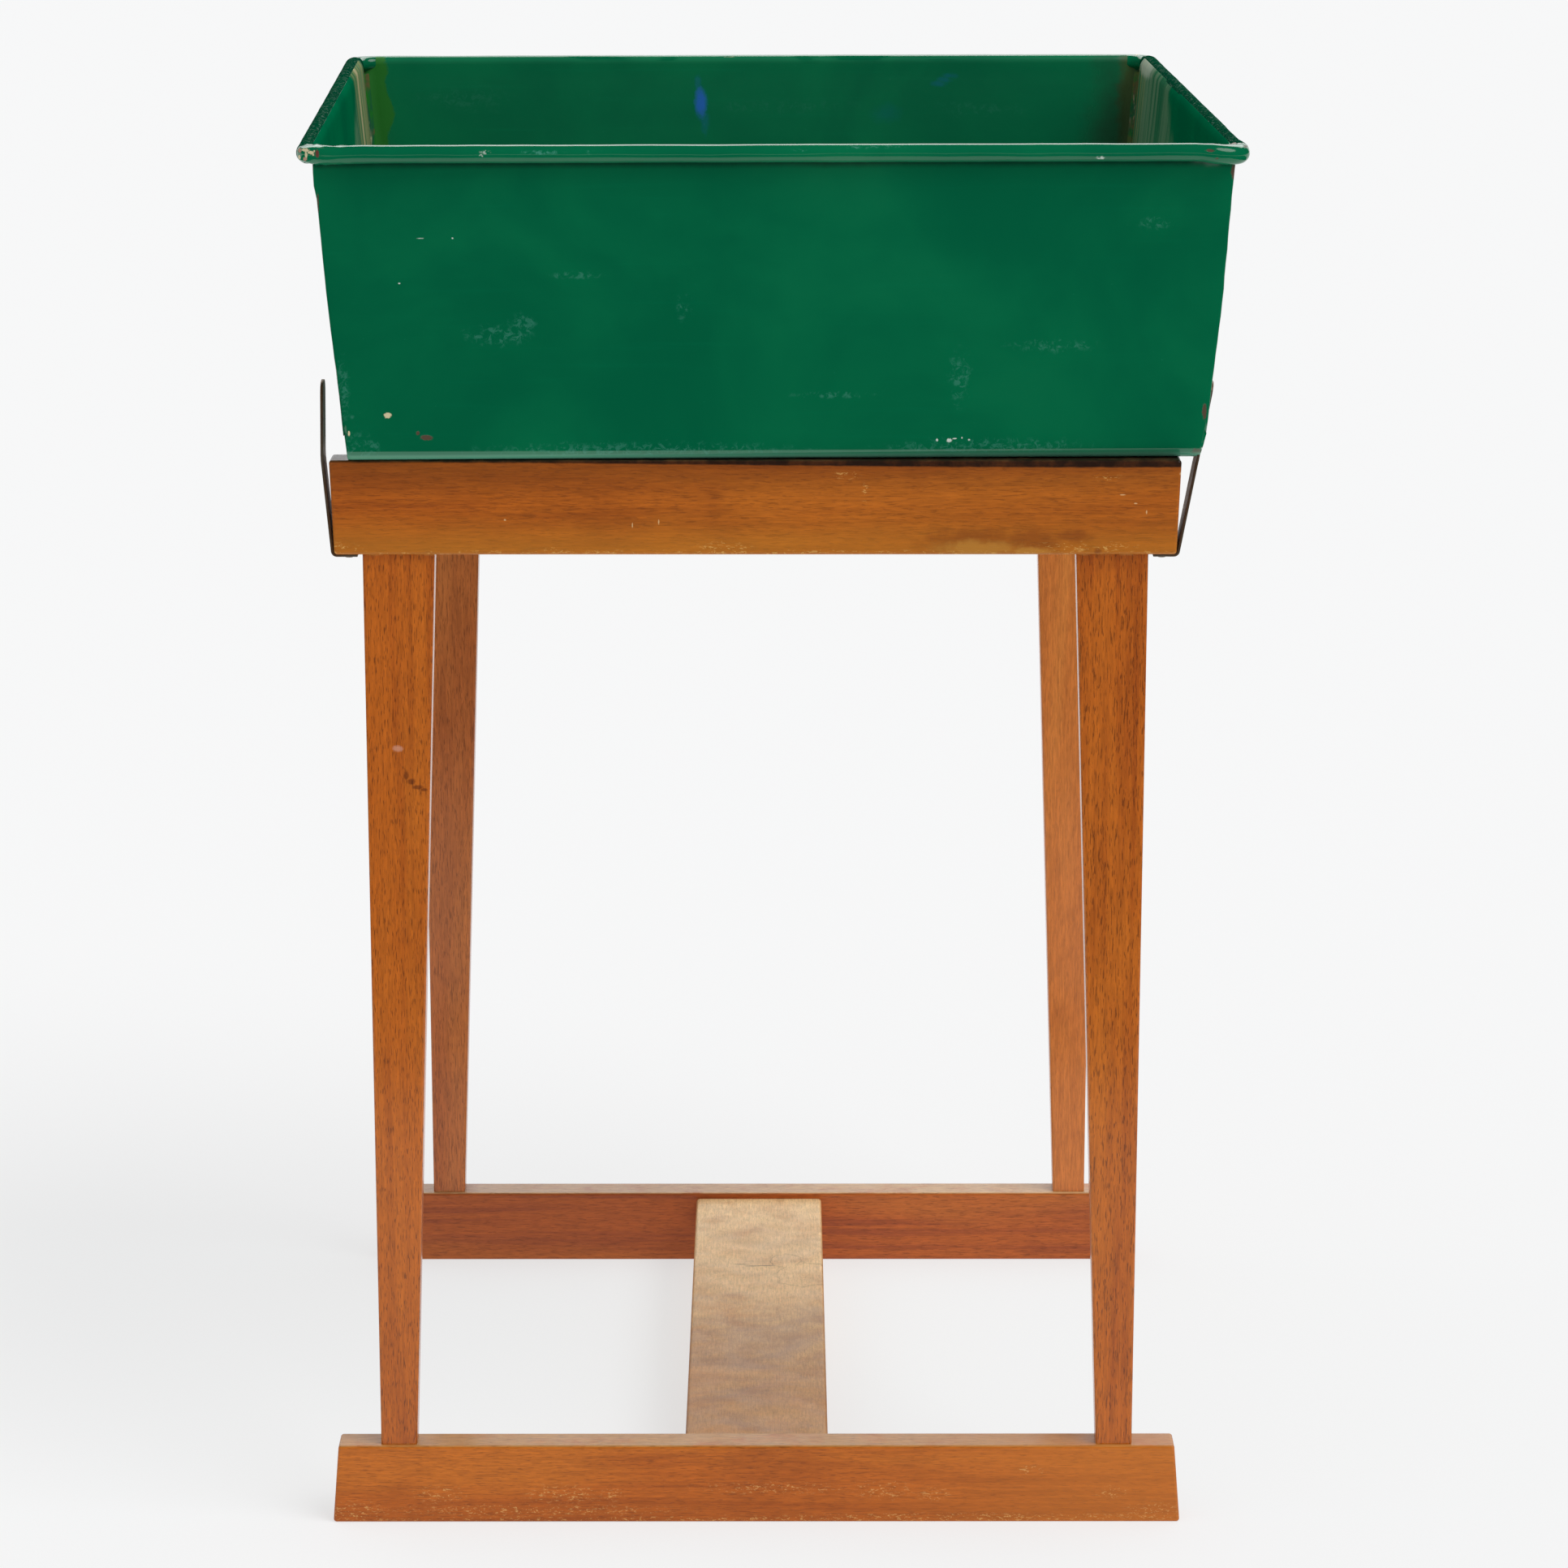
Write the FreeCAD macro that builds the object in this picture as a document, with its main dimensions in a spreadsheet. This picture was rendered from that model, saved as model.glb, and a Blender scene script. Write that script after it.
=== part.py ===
import FreeCAD, Part
import math
import os

import Sketcher

# A loose sheet-steel trough that stands on two wooden trestle ends, joined near
# the floor by one flat board.  Four L-shaped strips of spring steel, screwed
# under the ends of the two top rails, keep the trough from sliding off.
#
# Millimetres.  +Z is up and the floor is z = 0.  X runs along the runners and
# rails, Y from the front end frame (negative) to the rear one (positive).  The
# origin is on the floor, in the middle of the wooden stand.

SIZES = {
    # wood
    "stock": 19,                # thickness of the runners and top rails
    "arris": 1.5,               # rounding of their edges
    "runner_height": 38,
    "runner_foot": 401,         # length along the floor
    "runner_crown": 395,        # length along the top
    "rail_underside": 465.3,    # height of the rail's lower face
    "rail_height": 43.5,
    "rail_foot": 384,
    "rail_crown": 387.5,
    "frame_pitch": 414.2,       # between the middles of the two end frames
    "leg_thick": 14,
    "leg_head": 33,             # width under the rail
    "leg_toe": 17,              # width on the runner
    "leg_head_out": 162.8,      # leg's centre line from the middle, at the rail
    "leg_toe_out": 168.9,       # and at the runner
    "leg_edge": 1.2,
    "tenon_thick": 8,
    "head_tenon": 22,
    "head_tenon_long": 26,
    "toe_tenon": 11,
    "toe_tenon_long": 24,
    "glue_gap": 0.1,
    "board_width": 68,
    "board_thick": 16,
    "board_top": 34.7,
    "board_edge": 2,
    "dowel_radius": 4,
    "dowel_spacing": 36,
    "dowel_in_board": 18,
    "dowel_in_runner": 11,
    # retaining clips
    "strip_thick": 1.25,
    "strip_width": 15.5,
    "bend_radius": 1.5,         # inside of the bend
    "clip_face": 192.35,        # strip's inner face above the bend, from the middle
    "foot_inner": 181.5,        # free end of the clip's foot, from the middle
    "arm_start": 1.4,           # arm's lower end above the middle of the bend
    "arm_kink": 43,
    "arm_long": 78,
    "tip_radius": 6,
    "screw_out": 185.8,
    "screw_radius": 1.2,
    "screw_long": 10,
    "screw_head_radius": 2.6,
    "screw_head_high": 1.3,
    "screw_slot": 0.6,
    "screw_gap": 0.05,
    # trough
    "sheet": 0.9,
    "pan_foot_width": 386.5,
    "pan_head_width": 411.3,
    "pan_foot_length": 431.6,
    "pan_head_length": 443.6,
    "wall_height": 137.6,       # end walls, up to the rolled edge
    "side_height": 139.3,       # side sheets, up to the rolled edge
    "pan_bend": 6,              # outside radius of the bottom bends
    "lap": 6,                   # end walls' edges folded onto the sides
    "lap_start": 8,
    "rim_height": 140.2,        # middle of the rolled edge above the pan's base
    "rim_width": 418,           # between the middles of the rolled edges
    "rim_length": 450,
    "rim_corner": 13,
    "roll_radius": 4.1,
    "wire_radius": 3.1,
    "wall_drop": 2.2,           # walls end lower under the rounded rim corners
    "solder": 2.5,
    "seam_gap": 0.01,
    "pan_x": 2.3,
    "pan_y": 0.5,
    "pan_turn": 1.4,            # degrees about Z
}

# name, side (+1 right), end (+1 rear), lean of the arm and of its upper part,
# both in degrees outward from upright
CLIPS = [
    ("front_left", -1, -1, 5.3, -0.7),
    ("front_right", 1, -1, 11.7, 10.4),
    ("rear_left", -1, 1, 6.9, 3.9),
    ("rear_right", 1, 1, 5.3, -0.7),
]

PLANES = {"XY": "XY_Plane", "XZ": "XZ_Plane", "YZ": "YZ_Plane"}
RUN_PAST = 30                   # how far a cutting outline runs past the solid
CORNERS = [(1, 1), (-1, 1), (-1, -1), (1, -1)]

doc = FreeCAD.newDocument("TroughStand")
sheet = doc.addObject("Spreadsheet::Sheet", "Sizes")
subparts = []


def fill_sheet():
    for row, (alias, value) in enumerate(SIZES.items(), start=1):
        sheet.set(f"A{row}", alias.replace("_", " "))
        sheet.set(f"B{row}", str(value))
        sheet.setAlias(f"B{row}", alias)
    doc.recompute()


def cell(text):
    """An expression over the sheet's cells, from one over their plain names."""
    words = text.replace("(", " ( ").replace(")", " ) ").split()
    return " ".join(f"Sizes.{word}" if word in SIZES else word for word in words)


def new_body(label):
    body = doc.addObject("PartDesign::Body", label)
    body.Label = label
    subparts.append(body)
    return body


def place(thing, x="0", y="0", z="0", angle="0", axis=(0, 0, 1)):
    thing.Placement = FreeCAD.Placement(
        FreeCAD.Vector(0, 0, 0), FreeCAD.Rotation(FreeCAD.Vector(*axis), 1)
    )
    for name, text in (("x", x), ("y", y), ("z", z)):
        thing.setExpression(f"Placement.Base.{name}", cell(text))
    thing.setExpression("Placement.Rotation.Angle", cell(angle))


def new_sketch(body, name, plane, offset="0"):
    sketch = body.newObject("Sketcher::SketchObject", f"{body.Label}_{name}")
    origin_plane = [
        feature for feature in body.Origin.OriginFeatures if feature.Role == PLANES[plane]
    ][0]
    sketch.AttachmentSupport = (origin_plane, [""])
    sketch.MapMode = "FlatFace"
    sketch.setExpression("AttachmentOffset.Base.z", cell(offset))
    return sketch


def bind(sketch, kind, places, text, start):
    """Add one dimension whose value follows the sheet."""
    index = sketch.addConstraint(Sketcher.Constraint(kind, *places, start))
    sketch.setExpression(f"Constraints[{index}]", cell(text))


def add_outline(sketch, corners):
    """A closed outline; each corner's two distances from the origin follow the sheet."""
    first = sketch.GeometryCount
    count = len(corners)
    spread = [
        FreeCAD.Vector(math.cos(2 * math.pi * i / count), math.sin(2 * math.pi * i / count), 0)
        for i in range(count)
    ]
    for i in range(count):
        sketch.addGeometry(Part.LineSegment(spread[i], spread[(i + 1) % count]))
    for i in range(count):
        follower = first + (i + 1) % count
        sketch.addConstraint(Sketcher.Constraint("Coincident", first + i, 2, follower, 1))
    for i, (across, up) in enumerate(corners):
        bind(sketch, "DistanceX", (-1, 1, first + i, 1), across, spread[i].x)
        bind(sketch, "DistanceY", (-1, 1, first + i, 1), up, spread[i].y)


def add_rectangle(sketch, left, right, bottom, top):
    add_outline(sketch, [(left, bottom), (right, bottom), (right, top), (left, top)])


def add_corner_cut(sketch, side, across, up, radius, across_at, up_at, radius_at):
    """Outline of all that lies outside a lower corner, rounded about a middle.

    across, up and radius are expressions; the same names with _at are their values now.
    """
    middle = FreeCAD.Vector(side * across_at, up_at, 0)
    first_angle = 1.5 * math.pi if side > 0 else math.pi
    circle = Part.Circle(middle, FreeCAD.Vector(0, 0, 1), radius_at)
    arc = sketch.addGeometry(
        Part.ArcOfCircle(circle, first_angle, first_angle + math.pi / 2)
    )
    side_end, base_end = (2, 1) if side > 0 else (1, 2)
    past_at = side * (across_at + RUN_PAST)
    points = [
        (side * (across_at + radius_at), up_at),
        (past_at, up_at),
        (past_at, -RUN_PAST),
        (side * across_at, -RUN_PAST),
        (side * across_at, up_at - radius_at),
    ]
    lines = [
        sketch.addGeometry(
            Part.LineSegment(FreeCAD.Vector(*a, 0), FreeCAD.Vector(*b, 0))
        )
        for a, b in zip(points, points[1:])
    ]
    sketch.addConstraint(Sketcher.Constraint("Coincident", arc, side_end, lines[0], 1))
    sketch.addConstraint(Sketcher.Constraint("Coincident", lines[3], 2, arc, base_end))
    for before, after in zip(lines, lines[1:]):
        sketch.addConstraint(Sketcher.Constraint("Coincident", before, 2, after, 1))
    for line, kind in zip(lines, ("Horizontal", "Vertical", "Horizontal", "Vertical")):
        sketch.addConstraint(Sketcher.Constraint(kind, line))
    sign = "" if side > 0 else "- "
    bind(sketch, "DistanceX", (-1, 1, arc, 3), f"{sign}{across}", side * across_at)
    bind(sketch, "DistanceY", (-1, 1, arc, 3), up, up_at)
    bind(sketch, "Radius", (arc,), radius, radius_at)
    bind(sketch, "DistanceX", (-1, 1, arc, base_end), f"{sign}{across}", side * across_at)
    bind(sketch, "DistanceY", (-1, 1, arc, side_end), up, up_at)
    bind(sketch, "DistanceX", (-1, 1, lines[1], 1), f"{sign}( {across} + {RUN_PAST} )", past_at)
    bind(sketch, "DistanceY", (-1, 1, lines[2], 1), f"- {RUN_PAST}", -RUN_PAST)


def add_circle(sketch, across, up, radius):
    index = sketch.addGeometry(
        Part.Circle(FreeCAD.Vector(1, 1, 0), FreeCAD.Vector(0, 0, 1), 1)
    )
    bind(sketch, "DistanceX", (-1, 1, index, 3), across, 1)
    bind(sketch, "DistanceY", (-1, 1, index, 3), up, 1)
    bind(sketch, "Radius", (index,), radius, 1)


def pad(body, name, sketch, length):
    """Thicken a sketch equally to both sides of its plane."""
    feature = body.newObject("PartDesign::Pad", f"{body.Label}_{name}")
    feature.Profile = sketch
    feature.SideType = "Symmetric"
    feature.setExpression("Length", cell(length))
    doc.recompute()
    return feature


def pocket(body, name, sketch, depth=None, reverse=False):
    """Cut a sketch out to a depth, or right through both ways; it has to remove something."""
    before = body.Shape.Volume
    feature = body.newObject("PartDesign::Pocket", f"{body.Label}_{name}")
    feature.Profile = sketch
    if depth is None:
        feature.Type = "ThroughAll"
        feature.SideType = "Symmetric"
    else:
        feature.setExpression("Length", cell(depth))
        feature.Reversed = reverse
    doc.recompute()
    if body.Shape.Volume > before - 0.01:
        raise RuntimeError(f"{body.Label}: pocket {name} removes nothing")
    return feature


def fillet(body, name, radius, wanted):
    """Round the edges of the body for which wanted(edge) is true."""
    base = body.Tip
    names = [f"Edge{i}" for i, edge in enumerate(base.Shape.Edges, start=1) if wanted(edge)]
    if not names:
        raise RuntimeError(f"{body.Label}: fillet {name} finds no edge")
    feature = body.newObject("PartDesign::Fillet", f"{body.Label}_{name}")
    feature.Base = (base, names)
    feature.setExpression("Radius", cell(radius))
    doc.recompute()
    return feature


def hollow(body, name, wall, opened):
    """Leave only a wall inside the solid's faces, open where opened(middle of face)."""
    base = body.Tip
    names = [
        f"Face{i}"
        for i, face in enumerate(base.Shape.Faces, start=1)
        if opened(face.CenterOfMass)
    ]
    feature = body.newObject("PartDesign::Thickness", f"{body.Label}_{name}")
    feature.Base = (base, names)
    feature.setExpression("Value", cell(wall))
    feature.Reversed = True
    doc.recompute()
    return feature


def loft(body, name, low, high, low_corners, high_corners):
    """A solid with flat faces between two outlines at two heights."""
    sketches = []
    for end, height, corners in (("low", low, low_corners), ("high", high, high_corners)):
        sketch = new_sketch(body, f"{name}_{end}", "XY", height)
        add_outline(sketch, corners)
        sketches.append(sketch)
    doc.recompute()
    feature = body.newObject("PartDesign::AdditiveLoft", f"{body.Label}_{name}")
    feature.Profile = sketches[0]
    feature.Sections = [sketches[1]]
    feature.Ruled = True
    doc.recompute()
    return feature


def ends_near(edge, test):
    return all(test(vertex.Point) for vertex in edge.Vertexes)


# ---------------------------------------------------------------- wooden stand


def make_runner(label, y, angle):
    """Bottom runner: ends slope outward to the floor, mortises for two legs."""
    body = new_body(label)
    face = new_sketch(body, "face", "XZ")
    add_outline(face, [
        ("- runner_foot / 2", "0"),
        ("runner_foot / 2", "0"),
        ("runner_crown / 2", "runner_height"),
        ("- runner_crown / 2", "runner_height"),
    ])
    pad(body, "block", face, "stock")
    fillet(body, "edges", "arris", lambda edge: True)
    mortises = new_sketch(body, "mortises", "XY", "runner_height")
    for sign in ("", "- "):
        add_rectangle(
            mortises,
            f"{sign}leg_toe_out - toe_tenon / 2 - glue_gap",
            f"{sign}leg_toe_out + toe_tenon / 2 + glue_gap",
            "- tenon_thick / 2 - glue_gap",
            "tenon_thick / 2 + glue_gap",
        )
    pocket(body, "leg_mortises", mortises, "toe_tenon_long + glue_gap")
    holes = new_sketch(body, "dowel_holes", "XZ", "- stock / 2")
    for sign in ("", "- "):
        add_circle(
            holes,
            f"{sign}dowel_spacing / 2",
            "board_top - board_thick / 2",
            "dowel_radius + glue_gap / 2",
        )
    pocket(body, "dowel_bores", holes, "dowel_in_runner + glue_gap", reverse=True)
    place(body, y=y, angle=angle)


def make_leg(label, side, y):
    """Leg that tapers and splays outward to the floor, with a tenon at each end."""
    sign = "- " if side < 0 else ""
    body = new_body(label)
    face = new_sketch(body, "face", "XZ")
    add_outline(face, [
        (f"{sign}leg_toe_out - leg_toe / 2", "runner_height"),
        (f"{sign}leg_toe_out + leg_toe / 2", "runner_height"),
        (f"{sign}leg_head_out + leg_head / 2", "rail_underside"),
        (f"{sign}leg_head_out - leg_head / 2", "rail_underside"),
    ])
    pad(body, "blank", face, "leg_thick")
    longest = SIZES["rail_underside"] - SIZES["runner_height"]
    fillet(body, "edges", "leg_edge", lambda edge: edge.Length >= longest)
    for name, out, width, bottom, top in (
        ("head", "leg_head_out", "head_tenon", "rail_underside",
         "rail_underside + head_tenon_long"),
        ("toe", "leg_toe_out", "toe_tenon", "runner_height - toe_tenon_long",
         "runner_height"),
    ):
        tenon = new_sketch(body, f"{name}_tenon", "XZ")
        add_rectangle(
            tenon, f"{sign}{out} - {width} / 2", f"{sign}{out} + {width} / 2", bottom, top
        )
        pad(body, f"{name}_tenon_block", tenon, "tenon_thick")
    place(body, y=y)


def make_rail(label, y, angle):
    """Top rail: ends slope inward to the bottom, mortises and pilot holes below."""
    body = new_body(label)
    face = new_sketch(body, "face", "XZ")
    add_outline(face, [
        ("- rail_foot / 2", "rail_underside"),
        ("rail_foot / 2", "rail_underside"),
        ("rail_crown / 2", "rail_underside + rail_height"),
        ("- rail_crown / 2", "rail_underside + rail_height"),
    ])
    pad(body, "block", face, "stock")
    fillet(body, "edges", "arris", lambda edge: True)
    mortises = new_sketch(body, "mortises", "XY", "rail_underside")
    for sign in ("", "- "):
        add_rectangle(
            mortises,
            f"{sign}leg_head_out - head_tenon / 2 - glue_gap",
            f"{sign}leg_head_out + head_tenon / 2 + glue_gap",
            "- tenon_thick / 2 - glue_gap",
            "tenon_thick / 2 + glue_gap",
        )
    pocket(body, "leg_mortises", mortises, "head_tenon_long + glue_gap", reverse=True)
    pilots = new_sketch(body, "pilots", "XY", "rail_underside")
    for sign in ("", "- "):
        add_circle(pilots, f"{sign}screw_out", "0", "screw_radius + screw_gap")
    pocket(body, "screw_pilots", pilots, "screw_long", reverse=True)
    place(body, y=y, angle=angle)


def make_board():
    """Flat stretcher board between the inner faces of the two runners."""
    body = new_body("stretcher_board")
    end = new_sketch(body, "end", "XZ")
    add_rectangle(
        end, "- board_width / 2", "board_width / 2", "board_top - board_thick", "board_top"
    )
    pad(body, "plank", end, "frame_pitch - stock")
    fillet(body, "edges", "board_edge", lambda edge: edge.Length > SIZES["frame_pitch"] / 2)
    for name, offset, reverse in (
        ("front", "frame_pitch / 2 - stock / 2", False),
        ("rear", "- frame_pitch / 2 + stock / 2", True),
    ):
        holes = new_sketch(body, f"{name}_holes", "XZ", offset)
        for sign in ("", "- "):
            add_circle(
                holes,
                f"{sign}dowel_spacing / 2",
                "board_top - board_thick / 2",
                "dowel_radius + glue_gap / 2",
            )
        pocket(body, f"{name}_bores", holes, "dowel_in_board + glue_gap", reverse=reverse)


def make_dowels(label, end):
    """Two hidden beech dowels between the board and one runner."""
    dowels = []
    joint = "frame_pitch / 2 - stock / 2"
    start = f"- {joint.replace('- ', '+ ')} - dowel_in_runner"
    if end > 0:
        start = f"{joint} - dowel_in_board"
    for number, sign in enumerate(("- ", "")):
        dowel = doc.addObject("Part::Cylinder", f"{label}_{number}")
        dowel.setExpression("Radius", cell("dowel_radius"))
        dowel.setExpression("Height", cell("dowel_in_board + dowel_in_runner"))
        place(
            dowel,
            x=f"{sign}dowel_spacing / 2",
            y=start,
            z="board_top - board_thick / 2",
            angle="90",
            axis=(-1, 0, 0),
        )
        dowels.append(dowel)
    group = doc.addObject("Part::Compound", label)
    group.Links = dowels
    group.Label = label
    subparts.append(group)


# --------------------------------------------------------------- spring clips


def make_clip_foot(name, side, end):
    """Foot under the rail's end and the bend round its corner."""
    sign = "- " if side < 0 else ""
    outward = "-" if side < 0 else "+"
    body = new_body(f"{name}_clip_foot")
    profile = new_sketch(body, "profile", "XZ")
    inner = f"{sign}foot_inner"
    face = f"{sign}clip_face"
    back = f"{sign}clip_face {outward} strip_thick"
    bend_middle = "rail_underside + bend_radius"
    lower = "rail_underside - strip_thick"
    add_outline(profile, [
        (inner, "rail_underside"),
        (face, "rail_underside"),
        (face, bend_middle),
        (back, bend_middle),
        (back, lower),
        (inner, lower),
    ])
    pad(body, "strip", profile, "strip_width")
    face_x = side * SIZES["clip_face"]
    top_z = SIZES["rail_underside"]
    outside_x = face_x + side * SIZES["strip_thick"]
    under_z = top_z - SIZES["strip_thick"]

    def corner(x, z):
        return lambda edge: ends_near(
            edge, lambda p: abs(p.x - x) < 0.01 and abs(p.z - z) < 0.01
        )

    fillet(body, "bend_outside", "bend_radius + strip_thick - 0.01", corner(outside_x, under_z))
    fillet(body, "bend_inside", "bend_radius - 0.01", corner(face_x, top_z))
    hole = new_sketch(body, "hole", "XY", "rail_underside")
    add_circle(hole, f"{sign}screw_out", "0", "screw_radius + screw_gap")
    pocket(body, "screw_hole", hole, "strip_thick * 2")
    place(body, y=f"{'- ' if end < 0 else ''}frame_pitch / 2")


def make_clip_arm(name, side, end, lean, top_lean):
    """Arm of one clip, turned about the middle of its bend to where it stands."""
    sign = "- " if side < 0 else ""
    outward = "-" if side < 0 else "+"
    body = new_body(f"{name}_clip_arm")
    profile = new_sketch(body, "profile", "XZ")
    tip_shift = f"( arm_long - arm_kink ) * {math.tan(math.radians(top_lean - lean)):.5f}"
    inner = f"{sign}bend_radius"
    outer = f"{sign}bend_radius {outward} strip_thick"
    add_outline(profile, [
        (inner, "arm_start"),
        (outer, "arm_start"),
        (outer, "arm_kink"),
        (f"{outer} {outward} {tip_shift}", "arm_long"),
        (f"{inner} {outward} {tip_shift}", "arm_long"),
        (inner, "arm_kink"),
    ])
    pad(body, "strip", profile, "strip_width")
    across = 2 * SIZES["strip_thick"]
    fillet(body, "rounded_tip", "tip_radius", lambda edge: edge.Length < across
           and ends_near(edge, lambda p: p.z > SIZES["arm_long"] - 0.01))
    place(
        body,
        x=f"{sign}( clip_face - bend_radius )",
        y=f"{'- ' if end < 0 else ''}frame_pitch / 2",
        z="rail_underside + bend_radius",
        angle=str(side * lean),
        axis=(0, 1, 0),
    )


def make_clip_screw(name, side, end):
    """Slotted wood screw, head down, through the foot into the rail."""
    sign = "- " if side < 0 else ""
    body = new_body(f"{name}_clip_screw")
    profile = new_sketch(body, "profile", "XZ")
    add_outline(profile, [
        ("0", "- screw_head_high"),
        ("screw_head_radius * 0.7", "- screw_head_high"),
        ("screw_head_radius", "- screw_head_high * 0.4"),
        ("screw_head_radius", "0"),
        ("screw_radius", "0"),
        ("screw_radius", "screw_long - screw_radius"),
        ("0", "screw_long"),
    ])
    doc.recompute()
    turned = body.newObject("PartDesign::Revolution", f"{body.Label}_turned")
    turned.Profile = profile
    turned.ReferenceAxis = (profile, ["V_Axis"])
    turned.Angle = 360
    doc.recompute()
    slot = new_sketch(body, "slot", "XY", "- screw_head_high")
    add_rectangle(
        slot, "- screw_head_radius * 2", "screw_head_radius * 2",
        "- screw_slot / 2", "screw_slot / 2",
    )
    pocket(body, "slot_cut", slot, "screw_slot", reverse=True)
    place(
        body,
        x=f"{sign}screw_out",
        y=f"{'- ' if end < 0 else ''}frame_pitch / 2",
        z="rail_underside - strip_thick",
    )


# --------------------------------------------------------------------- trough


def place_on_rails(body):
    place(body, x="pan_x", y="pan_y", z="rail_underside + rail_height", angle="pan_turn")


def taper(foot, head, height):
    """A size that goes from foot at the base to head at the top of the end walls."""
    return f"( {foot} + ( {head} - {foot} ) * ( {height} ) / wall_height )"


def pan_width(height):
    return taper("pan_foot_width", "pan_head_width", height)


def pan_length(height):
    return taper("pan_foot_length", "pan_head_length", height)


def make_trough_sheet():
    """One sheet bent into the front wall, the bottom and the rear wall.

    The end walls' upright edges are folded round onto the outside of the sides.
    """
    body = new_body("pan_trough_sheet")
    section = new_sketch(body, "section", "YZ")
    add_outline(section, [
        ("- pan_foot_length / 2", "0"),
        ("pan_foot_length / 2", "0"),
        ("pan_head_length / 2", "wall_height"),
        ("- pan_head_length / 2", "wall_height"),
    ])
    pad(body, "block", section, "pan_head_width")
    fillet(body, "folds", "pan_bend", lambda edge: ends_near(edge, lambda p: p.z < 0.01)
           and abs(edge.Vertexes[0].X - edge.Vertexes[1].X) > 1)
    end_x = SIZES["pan_head_width"] / 2
    hollow(body, "folded", "sheet", lambda middle: abs(middle.x) > end_x - 0.01
           or middle.z > SIZES["wall_height"] - 0.01)
    sides = new_sketch(body, "sides", "XZ")
    lower_top = "wall_height - wall_drop"
    for sign, outward, inward in (("", "+", "-"), ("- ", "-", "+")):
        clear = f"{sign}pan_head_width / 2 {outward} {RUN_PAST}"
        arc_start = f"{sign}rim_width / 2 {inward} rim_corner"
        add_outline(sides, [
            (f"{sign}{pan_width('0')} / 2", "0"),
            (f"{sign}{pan_width('0')} / 2", f"- {RUN_PAST}"),
            (clear, f"- {RUN_PAST}"),
            (clear, f"wall_height + {RUN_PAST}"),
            (arc_start, f"wall_height + {RUN_PAST}"),
            (arc_start, "wall_height"),
            (f"{sign}{pan_width(lower_top)} / 2", lower_top),
        ])
    pocket(body, "side_cuts", sides)
    for number, (sx, sy) in enumerate(CORNERS):
        sections = []
        for height in ("lap_start", lower_top):
            outer_x = f"{sx} * {pan_width(height)} / 2"
            inner_x = f"{sx} * ( {pan_width(height)} / 2 - sheet )"
            outer_y = f"{sy} * {pan_length(height)} / 2"
            lap_y = f"{sy} * ( {pan_length(height)} / 2 - sheet - lap )"
            sections.append([
                (outer_x, outer_y), (outer_x, lap_y), (inner_x, lap_y), (inner_x, outer_y)
            ])
        loft(body, f"lap_{number}", "lap_start", lower_top, *sections)
    place_on_rails(body)


def make_side_sheet(label, side):
    """Side wall: a flat sheet that stands on the bottom between the end walls."""
    body = new_body(label)
    sections = []
    for height in ("sheet", "side_height"):
        outer_x = f"{side} * ( {pan_width(height)} / 2 - sheet - seam_gap )"
        inner_x = f"{side} * ( {pan_width(height)} / 2 - sheet * 2 )"
        end_y = f"( {pan_length(height)} / 2 - sheet - seam_gap )"
        sections.append([
            (outer_x, f"- {end_y}"), (outer_x, end_y), (inner_x, end_y), (inner_x, f"- {end_y}")
        ])
    loft(body, "wall", "sheet", "side_height", *sections)
    rounding = new_sketch(body, "rounding", "YZ")
    for end in (-1, 1):
        add_corner_cut(
            rounding, end,
            "( pan_foot_length / 2 - pan_bend )", "pan_bend", "( pan_bend - sheet - seam_gap )",
            SIZES["pan_foot_length"] / 2 - SIZES["pan_bend"], SIZES["pan_bend"],
            SIZES["pan_bend"] - SIZES["sheet"] - SIZES["seam_gap"],
        )
    pocket(body, "bottom_corners", rounding)
    corners = new_sketch(body, "corners", "YZ")
    for sign, outward, inward in (("", "+", "-"), ("- ", "-", "+")):
        arc_start = f"{sign}rim_length / 2 {inward} rim_corner"
        clear = f"{sign}rim_length / 2 {outward} {RUN_PAST}"
        add_outline(corners, [
            (arc_start, "side_height"),
            (f"{sign}pan_head_length / 2", "wall_height - wall_drop"),
            (clear, "wall_height - wall_drop"),
            (clear, f"wall_height + {RUN_PAST}"),
            (arc_start, f"wall_height + {RUN_PAST}"),
        ])
    pocket(body, "corner_cuts", corners)
    place_on_rails(body)


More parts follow.
